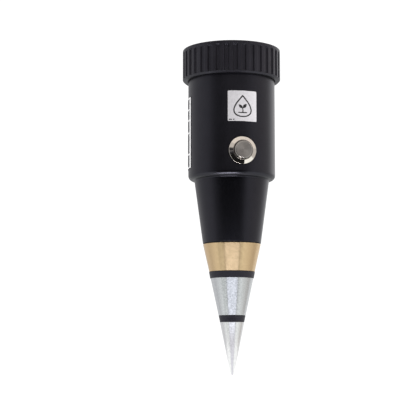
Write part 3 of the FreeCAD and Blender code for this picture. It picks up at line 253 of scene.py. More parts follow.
def window(name):
    """Clear acrylic that lets lamplight through to the dial."""
    material, tree = new_material(name)
    haze = tree.noise(2.5, 3.0)
    shader = tree.add("BsdfPrincipled", {
        "Base Color": (0.98, 0.985, 0.98),
        "Roughness": tree.fade(haze, 0.3, 0.8, 0.01, 0.05),
        "IOR": 1.49,
        "Transmission Weight": 1.0,
        "Normal": tree.bump(haze, 0.0004),
    })
    shadow_ray = tree.add("LightPath", {}).outputs["Is Shadow Ray"]
    clear = tree.add("BsdfTransparent", {"Color": (0.94, 0.95, 0.94)})
    both = tree.add("MixShader", {0: shadow_ray, 1: shader.outputs[0], 2: clear.outputs[0]})
    tree.add("OutputMaterial", {"Surface": both.outputs[0]})
    return material


# The soft violet tint of the gloss on the three black mouldings.
COOL_GLOSS = (0.84, 0.82, 1.0)
# Colour and roughness, then grain size and depth, and strength and tint of the gloss.
MOULDED = {
    "housing_plastic": ((0.0020, 0.0020, 0.0030), 0.33, 0.35, 0.006, 0.6, COOL_GLOSS),
    "collar_plastic": ((0.0060, 0.0056, 0.0074), 0.42, 0.3, 0.012, 0.6, COOL_GLOSS),
    "insulator_plastic": ((0.0066, 0.0062, 0.0080), 0.45, 0.25, 0.012, 0.6, COOL_GLOSS),
    "case_plastic": ((0.035, 0.035, 0.037), 0.5),
    "black_rubber": ((0.010, 0.010, 0.010), 0.75, 0.2, 0.02, 0.3),
    "phenolic_base": ((0.085, 0.038, 0.016), 0.42),
    "sleeve_plastic": ((0.72, 0.71, 0.66), 0.4),
    "lead_black": ((0.014, 0.014, 0.015), 0.35),
    "lead_red": ((0.52, 0.022, 0.018), 0.35),
    "lead_yellow": ((0.72, 0.46, 0.03), 0.35),
    "lead_blue": ((0.02, 0.075, 0.42), 0.35),
    "resistor_body": ((0.46, 0.33, 0.17), 0.4),
}
# Light and dark colour and roughness, then patch size, spread of the roughness, how far the
# gloss is drawn out, the axis of the lathe and the depth of its rings.
TURNED = {
    "machined_aluminium": ((0.84, 0.855, 0.87), (0.72, 0.74, 0.755), 0.24, 0.9, 0.06, 0.6),
    "polished_tip": ((0.98, 0.98, 0.985), (0.93, 0.935, 0.94), 0.2, 0.9, 0.06, 0.6),
    "turned_brass": ((0.89, 0.655, 0.385), (0.85, 0.62, 0.36), 0.24, 1.6, 0.03, 0.6, "Z", 0.0006),
    "spacer_brass": ((0.86, 0.66, 0.34), (0.74, 0.54, 0.26), 0.3),
    "chrome_bezel": ((0.97, 0.90, 0.83), (0.90, 0.83, 0.76), 0.10, 3.0, 0.02, 0.0, "Y", 0.0004),
    "button_steel": ((0.70, 0.66, 0.625), (0.62, 0.585, 0.555), 0.38, 1.2, 0.06, 0.7, "Y"),
    "copper_coil": ((0.80, 0.36, 0.19), (0.58, 0.22, 0.11), 0.34, 0.5, 0.06, 0.0, "Z", 0.03),
}
# Light and dark colour and roughness.
PRESSED = {
    "small_brass": ((0.86, 0.64, 0.30), (0.66, 0.46, 0.20), 0.3),
    "zinc_steel": ((0.70, 0.71, 0.74), (0.55, 0.57, 0.60), 0.32),
    "spring_steel": ((0.62, 0.62, 0.64), (0.45, 0.45, 0.47), 0.3),
    "magnet": ((0.20, 0.20, 0.21), (0.12, 0.12, 0.13), 0.45),
    "soft_iron": ((0.42, 0.42, 0.44), (0.30, 0.30, 0.32), 0.42),
    "bare_aluminium": ((0.86, 0.87, 0.88), (0.70, 0.71, 0.73), 0.35),
    "balance_solder": ((0.74, 0.74, 0.76), (0.55, 0.55, 0.58), 0.4),
}
# Colour and roughness, then how metallic it is and the size of its fibres.
PRINTED = {
    "silver_label": ((0.64, 0.63, 0.66), 0.42, 0.1, 0.35),
    "black_label": ((0.016, 0.016, 0.018), 0.4),
    "dial_print": ((0.74, 0.745, 0.72), 0.42, 0.25),
    "dial_cover": ((0.70, 0.70, 0.68), 0.5),
    "pointer_red": ((0.56, 0.022, 0.015), 0.4),
}
INKS = {
    "ink_black": ((0.013, 0.013, 0.014), 0.42),
    "ink_white": ((0.83, 0.83, 0.84), 0.45),
    "ink_red": ((0.50, 0.045, 0.030), 0.5),
    "ink_green": ((0.09, 0.48, 0.14), 0.5),
    "ink_teal": ((0.10, 0.36, 0.33), 0.5),
    "ink_cream": ((0.72, 0.64, 0.44), 0.5),
}


def make_materials():
    """One finish for each of the record's material slots, the polished point and each ink."""
    finishes = {"clear_window": window("clear_window")}
    for make, table in ((moulded, MOULDED), (turned, TURNED), (pressed, PRESSED),
                        (printed, PRINTED), (printed, INKS)):
        for name, values in table.items():
            finishes[name] = make(name, *values)
    return finishes


# ---------------------------------------------------------------- round pieces

# A cut here goes through the middle of a rib and misses the button and every hole.
SECTION_ANGLE = math.radians(115.3)
SHARP_TURN = math.radians(25)
STRAIGHT_TURN = math.radians(0.5)
CREASE_ANGLE = math.radians(42)
# A point of an outline is kept to this many decimals, so that the ends of two runs meet.
OUTLINE_DECIMALS = 3
ON_AXIS = 1e-3
SAME_HEIGHT = 1e-6
# A wall this far inside the outermost one isn't the outer wall.
OUTER_WALL_DEPTH = 1.5
CORNER_STEPS = 3
SUPPORT_MARGIN = 0.12
LONGEST_RUN = 5.0
GROOVE_DEPTH = 0.06
GROOVE_WIDTH = 0.25


def cut_runs(node, place):
    """The straight runs, in (radius, height), where a half plane through the axis cuts a node."""
    bm = bmesh.new()
    bm.from_mesh(frame["nodes"][node].data)
    bm.transform(place.inverted() @ Matrix.Scale(1 / MM, 4) @ frame["nodes"][node].matrix_world)
    outward = Vector((math.cos(SECTION_ANGLE), math.sin(SECTION_ANGLE), 0))
    across = Vector((-outward.y, outward.x, 0))
    geometry = bm.verts[:] + bm.edges[:] + bm.faces[:]
    found = bmesh.ops.bisect_plane(bm, geom=geometry, plane_co=(0, 0, 0), plane_no=across)
    runs = set()
    for edge in found["geom_cut"]:
        if not isinstance(edge, bmesh.types.BMEdge):
            continue
        ends = sorted((vert.co.dot(outward), vert.co.z) for vert in edge.verts)
        (near, near_height), (far, far_height) = ends
        if far <= 0:
            continue
        if near < 0:
            near_height += (far_height - near_height) * near / (near - far)
            near = 0.0
        run = frozenset(tuple(round(value, OUTLINE_DECIMALS) for value in end)
                        for end in ((near, near_height), (far, far_height)))
        if len(run) == 2:
            runs.add(run)
    bm.free()
    return runs


def section(node, place=Matrix()):
    """Outline of a round CAD node, and whether it closes on itself or ends on the axis."""
    neighbours = {}
    for run in cut_runs(node, place):
        first, second = run
        neighbours.setdefault(first, []).append(second)
        neighbours.setdefault(second, []).append(first)
    on_axis = sorted(point for point, near in neighbours.items() if len(near) == 1)
    start = on_axis[0] if on_axis else max(neighbours)
    chain, last = [start], None
    while True:
        onward = [point for point in neighbours[chain[-1]] if point != last and point not in chain[1:]]
        if not onward or onward[0] == start:
            break
        last = chain[-1]
        chain.append(onward[0])
    return straightened([Vector(point) for point in chain], not on_axis), not on_axis


def turn_at(outline, i):
    """How far the outline turns at its corner i."""
    corner = outline[i]
    after = outline[(i + 1) % len(outline)]
    return (corner - outline[i - 1]).angle(after - corner, 0.0)


def straightened(outline, closed):
    """Leaves out the points that lie on a straight run."""
    inner = range(len(outline)) if closed else range(1, len(outline) - 1)
    spare = {i for i in inner if turn_at(outline, i) < STRAIGHT_TURN}
    return [corner for i, corner in enumerate(outline) if i not in spare]


def softened(outline, closed, radius):
    """Rounds each sharp corner a little, as moulding and finishing do."""
    result = []
    for i, corner in enumerate(outline):
        at_end = not closed and i in (0, len(outline) - 1)
        if at_end or turn_at(outline, i) < SHARP_TURN:
            result.append(corner)
            continue
        incoming = corner - outline[i - 1]
        outgoing = outline[(i + 1) % len(outline)] - corner
        trim = min(radius * math.tan(turn_at(outline, i) / 2), 0.4 * incoming.length,
                   0.4 * outgoing.length)
        start = corner - incoming.normalized() * trim
        end = corner + outgoing.normalized() * trim
        for step in range(CORNER_STEPS + 1):
            t = step / CORNER_STEPS
            result.append(start * (1 - t) ** 2 + corner * 2 * t * (1 - t) + end * t ** 2)
    return result


def supported(outline, closed):
    """Adds points near the ends of long runs, so that flat runs keep flat reflections."""
    result = []
    for i, corner in enumerate(outline):
        result.append(corner)
        if not closed and i == len(outline) - 1:
            break
        run = outline[(i + 1) % len(outline)] - corner
        if run.length < 4 * SUPPORT_MARGIN:
            continue
        direction = run.normalized()
        result.append(corner + direction * SUPPORT_MARGIN)
        pieces = math.ceil(run.length / LONGEST_RUN)
        result += [corner + run * k / pieces for k in range(1, pieces)]
        result.append(corner + run - direction * SUPPORT_MARGIN)
    return result


def on_outer_run(outline, heights):
    """Adds points at these heights to the run that is furthest from the axis."""
    result = []
    for i, corner in enumerate(outline):
        result.append(corner)
        after = outline[(i + 1) % len(outline)]
        low, high = sorted((corner.y, after.y))
        inside = [height for height in heights if low < height < high]
        middle = (corner.x + after.x) / 2
        others = [point for point in outline if low <= point.y <= high]
        if not inside or middle < max(point.x for point in others) - OUTER_WALL_DEPTH:
            continue
        inside.sort(reverse=corner.y > after.y)
        for height in inside:
            share = (height - corner.y) / (after.y - corner.y)
            result.append(corner + (after - corner) * share)
    return result


def grooved(outline, heights):
    """Turns fine grooves into the outermost run."""
    edges = [height + side * GROOVE_WIDTH / 2 for height in heights for side in (-1, 1)]
    result = on_outer_run(outline, edges + list(heights))
    in_groove = [any(abs(point.y - height) < SAME_HEIGHT for height in heights) for point in result]
    return [point - Vector((GROOVE_DEPTH * inside, 0)) for point, inside in zip(result, in_groove)]


def lathe(outline, closed, angles):
    """Solid of revolution round Z, with its columns at these angles in radians."""
    bm = bmesh.new()
    rings = []
    for radius, height in outline:
        if radius < ON_AXIS:
            rings.append([bm.verts.new((0, 0, height))])
            continue
        rings.append([bm.verts.new((radius * math.cos(angle), radius * math.sin(angle), height))
                      for angle in angles])
    following = rings[1:] + (rings[:1] if closed else [])
    for low, high in zip(rings, following):
        for i in range(len(angles)):
            j = (i + 1) % len(angles)
            corners = [low[i % len(low)], low[j % len(low)], high[j % len(high)], high[i % len(high)]]
            corners = list(dict.fromkeys(corners))
            if len(corners) > 2:
                bm.faces.new(corners)
    bmesh.ops.recalc_face_normals(bm, faces=bm.faces)
    return bm


def even_angles(count):
    """Angles in radians that divide a turn evenly."""
    return [2 * math.pi * i / count for i in range(count)]


def turned_copy(node, place=Matrix(), radius=0.12, columns=192, grooves=()):
    """A finer version of a round CAD node, with softened edges and grooves at some heights."""
    outline, closed = section(node, place)
    outline = softened(outline, closed, radius)
    outline = grooved(outline, grooves)
    return lathe(supported(outline, closed), closed, even_angles(columns))


def shade(bm):
    """Smooth faces with creases where the surface turns sharply."""
    for face in bm.faces:
        face.smooth = True
    for edge in bm.edges:
        edge.smooth = len(edge.link_faces) == 2 and edge.calc_face_angle() < CREASE_ANGLE


def new_object(name, bm):
    """Puts a mesh in the scene and frees the working copy."""
    mesh = bpy.data.meshes.new(name)
    bm.to_mesh(mesh)
    bm.free()
    item = bpy.data.objects.new(name, mesh)
    bpy.context.scene.collection.objects.link(item)
    return item


def piece(name, bm, slot, replaces=(), body="meter_body", place=Matrix(), material=None):
    """Finishes a mesh drawn in millimetres as a piece of the meter. Its material is its slot's,
    unless another one is named."""
    bm.transform(Matrix.Scale(MM, 4) @ place)
    shade(bm)
    item = new_object(name, bm)
    item.data.materials.append(materials[material or slot])
    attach(item, body)
    if replaces:
        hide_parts(*replaces)


def final_mesh(item):
    """The mesh that an object's modifiers or font give."""
    return bpy.data.meshes.new_from_object(item.evaluated_get(bpy.context.evaluated_depsgraph_get()))


def cut_away(bm, tool):
    """Cuts one closed mesh out of another."""
    target, other = new_object("target", bm), new_object("tool", tool)
    modifier = target.modifiers.new("boolean", "BOOLEAN")
    modifier.object, modifier.operation, modifier.solver = other, "DIFFERENCE", "EXACT"
    mesh = final_mesh(target)
    result = bmesh.new()
    result.from_mesh(mesh)
    bpy.data.meshes.remove(mesh)
    for used in (target, other):
        bpy.data.objects.remove(used)
    return result


# ---------------------------------------------------------------- housing and collar

HOUSING_EDGE = 0.18
SPOT_FACE_DEPTH = 0.4
SPOT_FACE_GAP = 0.25
SWITCH_HOLE_GAP = 0.05
SWITCH_HOLE_DEPTH = 6.0
BEZEL_RIM = 1.0
TOOL_OVERRUN = 5.0


def rod(radius, low, high):
    """A plain cylinder for a boolean."""
    outline = [Vector((0, low)), Vector((radius, low)), Vector((radius, high)), Vector((0, high))]
    return lathe(outline, False, even_angles(128))


def make_housing():
    """Black moulding with the switch's hole and its spot face."""
    bm = turned_copy("housing", radius=HOUSING_EDGE, columns=256)
    bezel, _ = section("switch_bushing", SWITCH_PLACE)
    bezel_radius = max(point.x for point in bezel)
    bezel_back = min(point.y for point in bezel if point.x > bezel_radius - 0.01)
    barrel = max(point.x for point in bezel if point.y < bezel_back - BEZEL_RIM)
    seat = bezel_back - SPOT_FACE_DEPTH
    spot_face = (bezel_radius + SPOT_FACE_GAP, seat)
    hole = (barrel + SWITCH_HOLE_GAP, seat - SWITCH_HOLE_DEPTH)
    for radius, low in (spot_face, hole):
        tool = rod(radius, low, BARREL_RADIUS + TOOL_OVERRUN)
        tool.transform(SWITCH_PLACE)
        bm = cut_away(bm, tool)
    piece("housing_shell", bm, "housing_plastic", ["housing"])


RIB_COUNT = 36
RIB_PITCH = 360 / RIB_COUNT
FLUTE_DEPTH = 0.65
FLUTE_FLOOR_HALF = 0.85
FLUTE_TOP_HALF = 1.2
FLUTE_LOW_MARGIN = 0.85
FLUTE_HIGH_MARGIN = 1.6
FLUTE_FADE = 0.45
COLLAR_EDGE = 0.16
# Where the columns of a flank and the rings of a flute's end lie, as shares of its width.
FLANK_SHARES = (0, 0.12, 0.3, 0.5, 0.7, 0.88, 1)
FADE_SHARES = (0, 0.3, 0.6, 1)


def flute_angles():
    """A flute's floor and top as half angles, and the columns' angles, all in degrees."""
    floor, top = (math.degrees(half / COLLAR_RADIUS) for half in (FLUTE_FLOOR_HALF, FLUTE_TOP_HALF))
    flank = [floor + (top - floor) * share for share in FLANK_SHARES]
    half = [floor / 2] + flank + [(top + RIB_PITCH / 2) / 2]
    one = [-offset for offset in reversed(half)] + [0] + half + [RIB_PITCH / 2]
    return floor, top, [rib * RIB_PITCH + offset for rib in range(RIB_COUNT) for offset in one]


def smooth_step(value, low, high):
    """0 below the low value and 1 above the high one, with a smooth rise between."""
    share = min(max((value - low) / (high - low), 0), 1)
    return share * share * (3 - 2 * share)


def make_collar():
    """Ribbed ring: flutes that run out into a plain lip above and below."""
    floor, top, angles = flute_angles()
    outline, closed = section("ribbed_collar")
    outline = softened(outline, closed, COLLAR_EDGE)
    low, high = COLLAR_LOW.z + FLUTE_LOW_MARGIN, COLLAR_HIGH.z - FLUTE_HIGH_MARGIN
    levels = [low + FLUTE_FADE * share for share in FADE_SHARES]
    levels += [high - FLUTE_FADE * share for share in FADE_SHARES]
    outline = on_outer_run(outline, levels)
    bm = lathe(supported(outline, closed), closed, [math.radians(angle) for angle in angles])
    for vert in bm.verts:
        angle = math.degrees(math.atan2(vert.co.y, vert.co.x))
        offset = abs((angle + RIB_PITCH / 2) % RIB_PITCH - RIB_PITCH / 2)
        hollow = 1 - smooth_step(offset, floor, top)
        hollow *= smooth_step(vert.co.z, low, low + FLUTE_FADE)
        hollow *= 1 - smooth_step(vert.co.z, high - FLUTE_FADE, high)
        radius = vert.co.xy.length
        wanted = min(radius, COLLAR_RADIUS - FLUTE_DEPTH * hollow)
        vert.co.x *= wanted / radius
        vert.co.y *= wanted / radius
    piece("collar_ring", bm, "collar_plastic", ["ribbed_collar"])


# ---------------------------------------------------------------- flat artwork

# How far ink stands off what it is printed on.
INK = 0.03
# The ink of a label starts inside its film, at this share of the film's thickness.
INK_ROOT = 0.8
# The height of a digit as a share of its font's size.
DIGIT_SHARE = 0.7
ARC_STEP = 2.0
DROP_POINT = 1.3
DROP_FULLNESS = 0.62


def add_prism(bm, outline, low, high):
    """A flat shape in X and Y between two heights."""
    bottom = [bm.verts.new((x, y, low)) for x, y in outline]
    top = [bm.verts.new((x, y, high)) for x, y in outline]
    bm.faces.new(top)
    bm.faces.new(bottom[::-1])
    for i in range(len(outline)):
        j = (i + 1) % len(outline)
        bm.faces.new((bottom[i], bottom[j], top[j], top[i]))


def add_band(bm, left, right, low, high, closed=False):
    """A flat strip between two rails of as many points."""
    rails = [[bm.verts.new((x, y, z)) for x, y in rail] for z in (low, high) for rail in (left, right)]
    low_left, low_right, high_left, high_right = rails
    count = len(left)
    for i in range(count if closed else count - 1):
        j = (i + 1) % count
        bm.faces.new((high_left[i], high_right[i], high_right[j], high_left[j]))
        bm.faces.new((low_left[i], low_left[j], low_right[j], low_right[i]))
        bm.faces.new((low_left[i], high_left[i], high_left[j], low_left[j]))
        bm.faces.new((low_right[i], low_right[j], high_right[j], high_right[i]))
    if not closed:
        for i, way in ((0, 1), (count - 1, -1)):
            end = (low_left[i], low_right[i], high_right[i], high_left[i])
            bm.faces.new(end[::way])


def add_stroke(bm, points, width, low, high, closed=False):
    """A line of even width along a path."""
    points = [Vector(point) for point in points]
    left, right = [], []
    for i, point in enumerate(points):
        before = points[i - 1] if closed or i else point
        after = points[(i + 1) % len(points)] if closed or i < len(points) - 1 else point
        along = (after - before).normalized()
        side = Vector((-along.y, along.x)) * width / 2
        left.append(point + side)
        right.append(point - side)
    add_band(bm, left, right, low, high, closed)


def add_box(bm, left, right, bottom, top, low, high):
    """A flat bar between two sides, a bottom and a top edge, and two heights."""
    add_prism(bm, [(left, bottom), (right, bottom), (right, top), (left, top)], low, high)


def add_arc_band(bm, inner, outer, start, end, low, high):
    """Part of a ring. Angles are clockwise from +Y."""
    count = max(2, math.ceil(abs(end - start) / ARC_STEP) + 1)
    angles = [math.radians(start + (end - start) * i / (count - 1)) for i in range(count)]
    left = [(outer * math.sin(angle), outer * math.cos(angle)) for angle in angles]
    right = [(inner * math.sin(angle), inner * math.cos(angle)) for angle in angles]
    add_band(bm, left, right, low, high)


def add_digits(bm, text, height, place):
    """Digits in Blender's own font, centred on a place."""
    curve = bpy.data.curves.new("digits", "FONT")
    curve.body, curve.size, curve.extrude = text, height / DIGIT_SHARE, INK / 2
    curve.align_x = curve.align_y = "CENTER"
    curve.resolution_u = 3
    holder = bpy.data.objects.new("digits", curve)
    bpy.context.scene.collection.objects.link(holder)
    mesh = final_mesh(holder)
    mesh.transform(Matrix.Translation((0, 0, INK / 2)) @ place)
    bm.from_mesh(mesh)
    bpy.data.objects.remove(holder)
    bpy.data.curves.remove(curve)
    bpy.data.meshes.remove(mesh)


def drop_outline(height, width, middle, count=48):
    """Outline of a water drop, point upwards, with its middle at a height."""
    points = []
    for t in even_angles(count):
        across = width * math.sin(t) * math.sin(t / 2) ** DROP_POINT * DROP_FULLNESS
        points.append((across, height / 2 * math.cos(t) + middle))
    return points


def leaf_outline(length, width, tilt, root, count=9):
    """A pointed leaf that grows from its root."""
    upper = [(length * i / count, width / 2 * math.sin(math.pi * i / count)) for i in range(count + 1)]
    lower = [(x, -y) for x, y in upper[1:-1]]
    turn = Matrix.Rotation(math.radians(tilt), 2)
    return [turn @ Vector(point) + root for point in upper + lower[::-1]]


def rounded_square(left, right, bottom, top, radius, steps=5):
    """Outline of a sticker with rounded corners."""
    points = []
    centres = [(right - radius, top - radius, 0), (left + radius, top - radius, 90),
               (left + radius, bottom + radius, 180), (right - radius, bottom + radius, 270)]
    for x, y, start in centres:
        for i in range(steps + 1):
            angle = math.radians(start + 90 * i / steps)
            points.append((x + radius * math.cos(angle), y + radius * math.sin(angle)))
    return points


# ---------------------------------------------------------------- labels on the barrel

# A sticker is cut into strips this wide before it is bent.
STRIP = 0.6
SYMBOL_CORNER = 0.45
# Height and width of the drop, how far it is above the sticker's middle and its line's width.
SYMBOL_DROP = (10.4, 9.6)
SYMBOL_DROP_LIFT = -0.1
SYMBOL_LINE = 0.62
SEEDLING_LINE = 0.5
SEEDLING_DEPTH = 3.3
SEEDLING_STEM = 2.1
SEEDLING_SWAY = (0.12, 1.0)
# Length, width and tilt of each leaf, and the half width of the ground that it grows from.
SEEDLING_LEAVES = ((3.0, 1.5, 48), (2.7, 1.4, 138))
SEEDLING_GROUND = 2.2
# A row of small bars along the lower left edge: their lengths, pitch, height and margin.
SYMBOL_BARS = (0.9, 0.5, 0.7)
SYMBOL_BAR_PITCH = 1.0
SYMBOL_BAR_HEIGHT = 0.5
SYMBOL_MARGIN = 0.5


def wrapped(bm):
    """Bends flat artwork round the barrel: X goes round it, Y goes up and Z stands off it."""
    lows = min(vert.co.x for vert in bm.verts)
    highs = max(vert.co.x for vert in bm.verts)
    for i in range(1, math.ceil((highs - lows) / STRIP)):
        geometry = bm.verts[:] + bm.edges[:] + bm.faces[:]
        bmesh.ops.bisect_plane(bm, geom=geometry, plane_co=(lows + i * STRIP, 0, 0), plane_no=(1, 0, 0))
    for vert in bm.verts:
        round_angle = math.degrees(vert.co.x / BARREL_RADIUS)
        vert.co = round_the_meter(BARREL_RADIUS + vert.co.z, round_angle, vert.co.y)
    return bm


def make_symbol_label():
    """Silver sticker. A drop with a seedling in it stands in for the printed mark."""
    low, high = box_mm("symbol_label")
    middle = (low.z + high.z) / 2
    thickness = -low.y - BARREL_RADIUS
    half_width = math.asin(high.x / (BARREL_RADIUS + thickness)) * BARREL_RADIUS
    bm = bmesh.new()
    add_prism(bm, rounded_square(-half_width, half_width, low.z, high.z, SYMBOL_CORNER), 0, thickness)
    piece("symbol_label_foil", wrapped(bm), "silver_label", ["symbol_label"])
    bm = bmesh.new()
    base, top = thickness * INK_ROOT, thickness + INK
    drop = drop_outline(*SYMBOL_DROP, middle + SYMBOL_DROP_LIFT)
    add_stroke(bm, drop, SYMBOL_LINE, base, top, closed=True)
    root = Vector((0, middle - SEEDLING_DEPTH))
    fork = root + Vector((0, SEEDLING_STEM))
    add_stroke(bm, [root, root + Vector(SEEDLING_SWAY), fork], SEEDLING_LINE, base, top)
    for length, width, tilt in SEEDLING_LEAVES:
        add_prism(bm, leaf_outline(length, width, tilt, fork), base, top)
    ground = [(-SEEDLING_GROUND, root.y), (SEEDLING_GROUND, root.y)]
    add_stroke(bm, ground, SEEDLING_LINE, base, top)
    bottom = low.z + SYMBOL_MARGIN
    for i, length in enumerate(SYMBOL_BARS):
        left = -half_width + SYMBOL_MARGIN + i * SYMBOL_BAR_PITCH
        add_box(bm, left, left + length, bottom, bottom + SYMBOL_BAR_HEIGHT, base, top)
    piece("symbol_label_print", wrapped(bm), "silver_label", material="ink_black")


TABLE_START = -82.0
TABLE_SWEEP = 100.0
TABLE_CORNER = 0.5
# From the sticker's edge to the table: left, right, and above and below.
TABLE_LEFT_GAP = 0.5
TABLE_RIGHT_GAP = 0.1
TABLE_END_GAP = 0.3
TABLE_BORDER = 2.0
TABLE_LINE = 0.7
# Where the rows and the second column start, as shares of the table's height and width.
ROW_SHARES = (0.0, 0.19, 0.49, 0.67, 0.82, 1.0)
COLUMN_SHARE = 0.6
COLUMN_GAP = 1.0
# Clear space beside the first and after the last bar of a row.
TEXT_START = 1.2
TABLE_MARGIN = 5.5
# Lines of bars in a row, as shares of its height, and the bars: the shortest and longest bar and
# gap, and the room that another bar needs.
TEXT_SHARES = (0.36, 0.72)
TEXT_HALF_HEIGHT = 0.3
BAR_LENGTHS = (0.9, 3.2)
BAR_GAPS = (0.5, 0.9)
LEAST_ROOM = 1.0


def make_side_label():
    """Black sticker with a white ruled table. Plain bars stand in for its wording."""
    low, high = box_mm("side_label")
    right = math.radians(TABLE_START) * BARREL_RADIUS
    left = math.radians(TABLE_START - TABLE_SWEEP) * BARREL_RADIUS
    thickness = -low.x - BARREL_RADIUS
    bm = bmesh.new()
    add_prism(bm, rounded_square(left, right, low.z, high.z, TABLE_CORNER), 0, thickness)
    piece("side_label_film", wrapped(bm), "black_label", ["side_label"])
    bm = bmesh.new()
    base, top = thickness * INK_ROOT, thickness + INK
    table_left, table_right = left + TABLE_LEFT_GAP, right - TABLE_RIGHT_GAP
    foot, head = low.z + TABLE_END_GAP, high.z - TABLE_END_GAP
    line_left, line_right = table_left + TABLE_LINE, table_right - TABLE_BORDER
    column = table_left + (table_right - table_left) * COLUMN_SHARE
    columns = ((table_left + TEXT_START, column - COLUMN_GAP),
               (column + COLUMN_GAP, line_right - TABLE_MARGIN))
    rows = [foot + (head - foot) * share for share in ROW_SHARES]
    bar_shapes = random.Random(7)
    add_box(bm, line_right, table_right, foot, head, base, top)
    add_box(bm, table_left, line_left, foot, head, base, top)
    for bottom, above in zip(rows, rows[1:]):
        add_box(bm, line_left, line_right, bottom, bottom + TABLE_LINE, base, top)
        for share in TEXT_SHARES:
            height = bottom + (above - bottom) * share
            for start, end in columns:
                place = start
                while place < end - LEAST_ROOM:
                    length = min(bar_shapes.uniform(*BAR_LENGTHS), end - place)
                    add_box(bm, place, place + length, height - TEXT_HALF_HEIGHT,
                            height + TEXT_HALF_HEIGHT, base, top)
                    place += length + bar_shapes.uniform(*BAR_GAPS)
    add_box(bm, line_left, line_right, rows[-1] - TABLE_LINE, rows[-1], base, top)
    piece("side_label_print", wrapped(bm), "black_label", material="ink_white")


# ---------------------------------------------------------------- dial

# The scales are arcs about the needle's pivot, and reach this far to each side of straight up.
DIAL_SWEEP = 42.0
NUMBER_SWEEP = DIAL_SWEEP * 0.95
GREEN_START = 28.0
# Inner and outer radius of each band, from the middle outwards.
TEAL_BAND = (13.9, 15.5)
CREAM_BAND = (15.5, 16.2)
OUTER_BAND = (16.2, 17.6)
CHECK_BAND = (18.0, 18.9)
CHECK_COUNT = 40
# Ticks of the inner scale: their foot, the ends of short and long ones and half their width.
TICK_FOOT = 13.5
SHORT_TICK = 14.6
LONG_TICK = 15.5
TICK_HALF_ANGLE = 0.25
TICK_STEPS = 25
LONG_TICK_EVERY = 5
# Numbers: their height and the radius of each row.
NUMBER_HEIGHT = 1.9
OUTER_NUMBERS = 20.4
INNER_NUMBERS = 12.1
# The drop: height and width, how far it is above the pivot, and how many points it has.
DIAL_DROP = (2.6, 2.3, 8.6, 32)
# Small print as bars: the middle of each block, its first line's height and the lines' pitch.
BLOCK_MIDDLE = 7.6
BLOCK_TOP = 7.5
BLOCK_PITCH = 1.4
BLOCK_REACHES = (3.2, 2.7, 2.2)
BLOCK_HALF_HEIGHT = 0.25
COVER_TOP = 1.6
COVER_PITCH = 1.7
COVER_REACHES = (8.0, 6.5, 7.2)
COVER_HALF_HEIGHT = 0.3


def add_numbers(bm, numbers, radius):
    """Numbers spread along an arc of the dial, upright to it."""
    for i, number in enumerate(numbers):
        angle = -NUMBER_SWEEP + 2 * NUMBER_SWEEP * i / (len(numbers) - 1)
        turn = Matrix.Rotation(math.radians(-angle), 4, "Z")
        place = turn @ Matrix.Translation((0, radius, 0))
        add_digits(bm, str(number), NUMBER_HEIGHT, place)


def dial_piece(name, bm, ink, level=DIAL_TOP):
    """Lays artwork that is drawn about the pivot on the dial or on its cover."""
    place = Matrix.Translation((0, PIVOT_Y, level))
    piece(name, bm, "dial_print", place=place, material="ink_" + ink)


def dial_band(name, band, start, end, ink):
    """One band of colour."""
    bm = bmesh.new()
    add_arc_band(bm, *band, start, end, 0, INK)
    dial_piece(name, bm, ink)


def make_red_print():
    """Most of the outer band, with the outer numbers and a drop."""
    bm = bmesh.new()
    add_arc_band(bm, *OUTER_BAND, -DIAL_SWEEP, GREEN_START, 0, INK)
    add_numbers(bm, range(1, 9), OUTER_NUMBERS)
    add_prism(bm, drop_outline(*DIAL_DROP)[::-1], 0, INK)
    dial_piece("dial_scale_red", bm, "red")


def make_black_print():
    """Chequered scale, ticks, inner numbers and two blocks of bars for the small print."""
    bm = bmesh.new()
    check = 2 * DIAL_SWEEP / CHECK_COUNT
    for i in range(0, CHECK_COUNT, 2):
        start = -DIAL_SWEEP + check * i
        add_arc_band(bm, *CHECK_BAND, start, start + check, 0, INK)
    for i in range(TICK_STEPS + 1):
        angle = -DIAL_SWEEP + 2 * DIAL_SWEEP * i / TICK_STEPS
        reach = SHORT_TICK if i % LONG_TICK_EVERY else LONG_TICK
        add_arc_band(bm, TICK_FOOT, reach, angle - TICK_HALF_ANGLE, angle + TICK_HALF_ANGLE,
                     INK, 2 * INK)
    add_numbers(bm, range(8, 2, -1), INNER_NUMBERS)
    for middle in (-BLOCK_MIDDLE, BLOCK_MIDDLE):
        for row, reach in enumerate(BLOCK_REACHES):
            height = BLOCK_TOP - BLOCK_PITCH * row
            add_box(bm, middle - reach, middle + reach, height - BLOCK_HALF_HEIGHT,
                    height + BLOCK_HALF_HEIGHT, 0, INK)
    dial_piece("dial_scale_black", bm, "black")


def make_cover_print():
    """Three bars on the dial's lower cover."""
    bm = bmesh.new()
    for row, reach in enumerate(COVER_REACHES):
        height = COVER_TOP - COVER_PITCH * row
        add_box(bm, -reach, reach, height - COVER_HALF_HEIGHT, height + COVER_HALF_HEIGHT, 0, INK)
    dial_piece("dial_cover_print", bm, "black", MASK_TOP)


def make_dial_print():
    """Two scales about the needle's pivot: 1 to 8 outside, 8 to 3 inside."""
    make_red_print()
    dial_band("dial_scale_green", OUTER_BAND, GREEN_START, DIAL_SWEEP, "green")
    dial_band("dial_scale_teal", TEAL_BAND, -DIAL_SWEEP, DIAL_SWEEP, "teal")
    dial_band("dial_scale_cream", CREAM_BAND, -DIAL_SWEEP, DIAL_SWEEP, "cream")
    make_black_print()
    make_cover_print()


# ---------------------------------------------------------------- the rest of the meter

METAL_EDGE = 0.08
CAP_EDGE = 0.15
LENS_EDGE = 0.1
SWITCH_COLUMNS = 128
GROOVE_SHARES = (0.3, 0.5, 0.7)


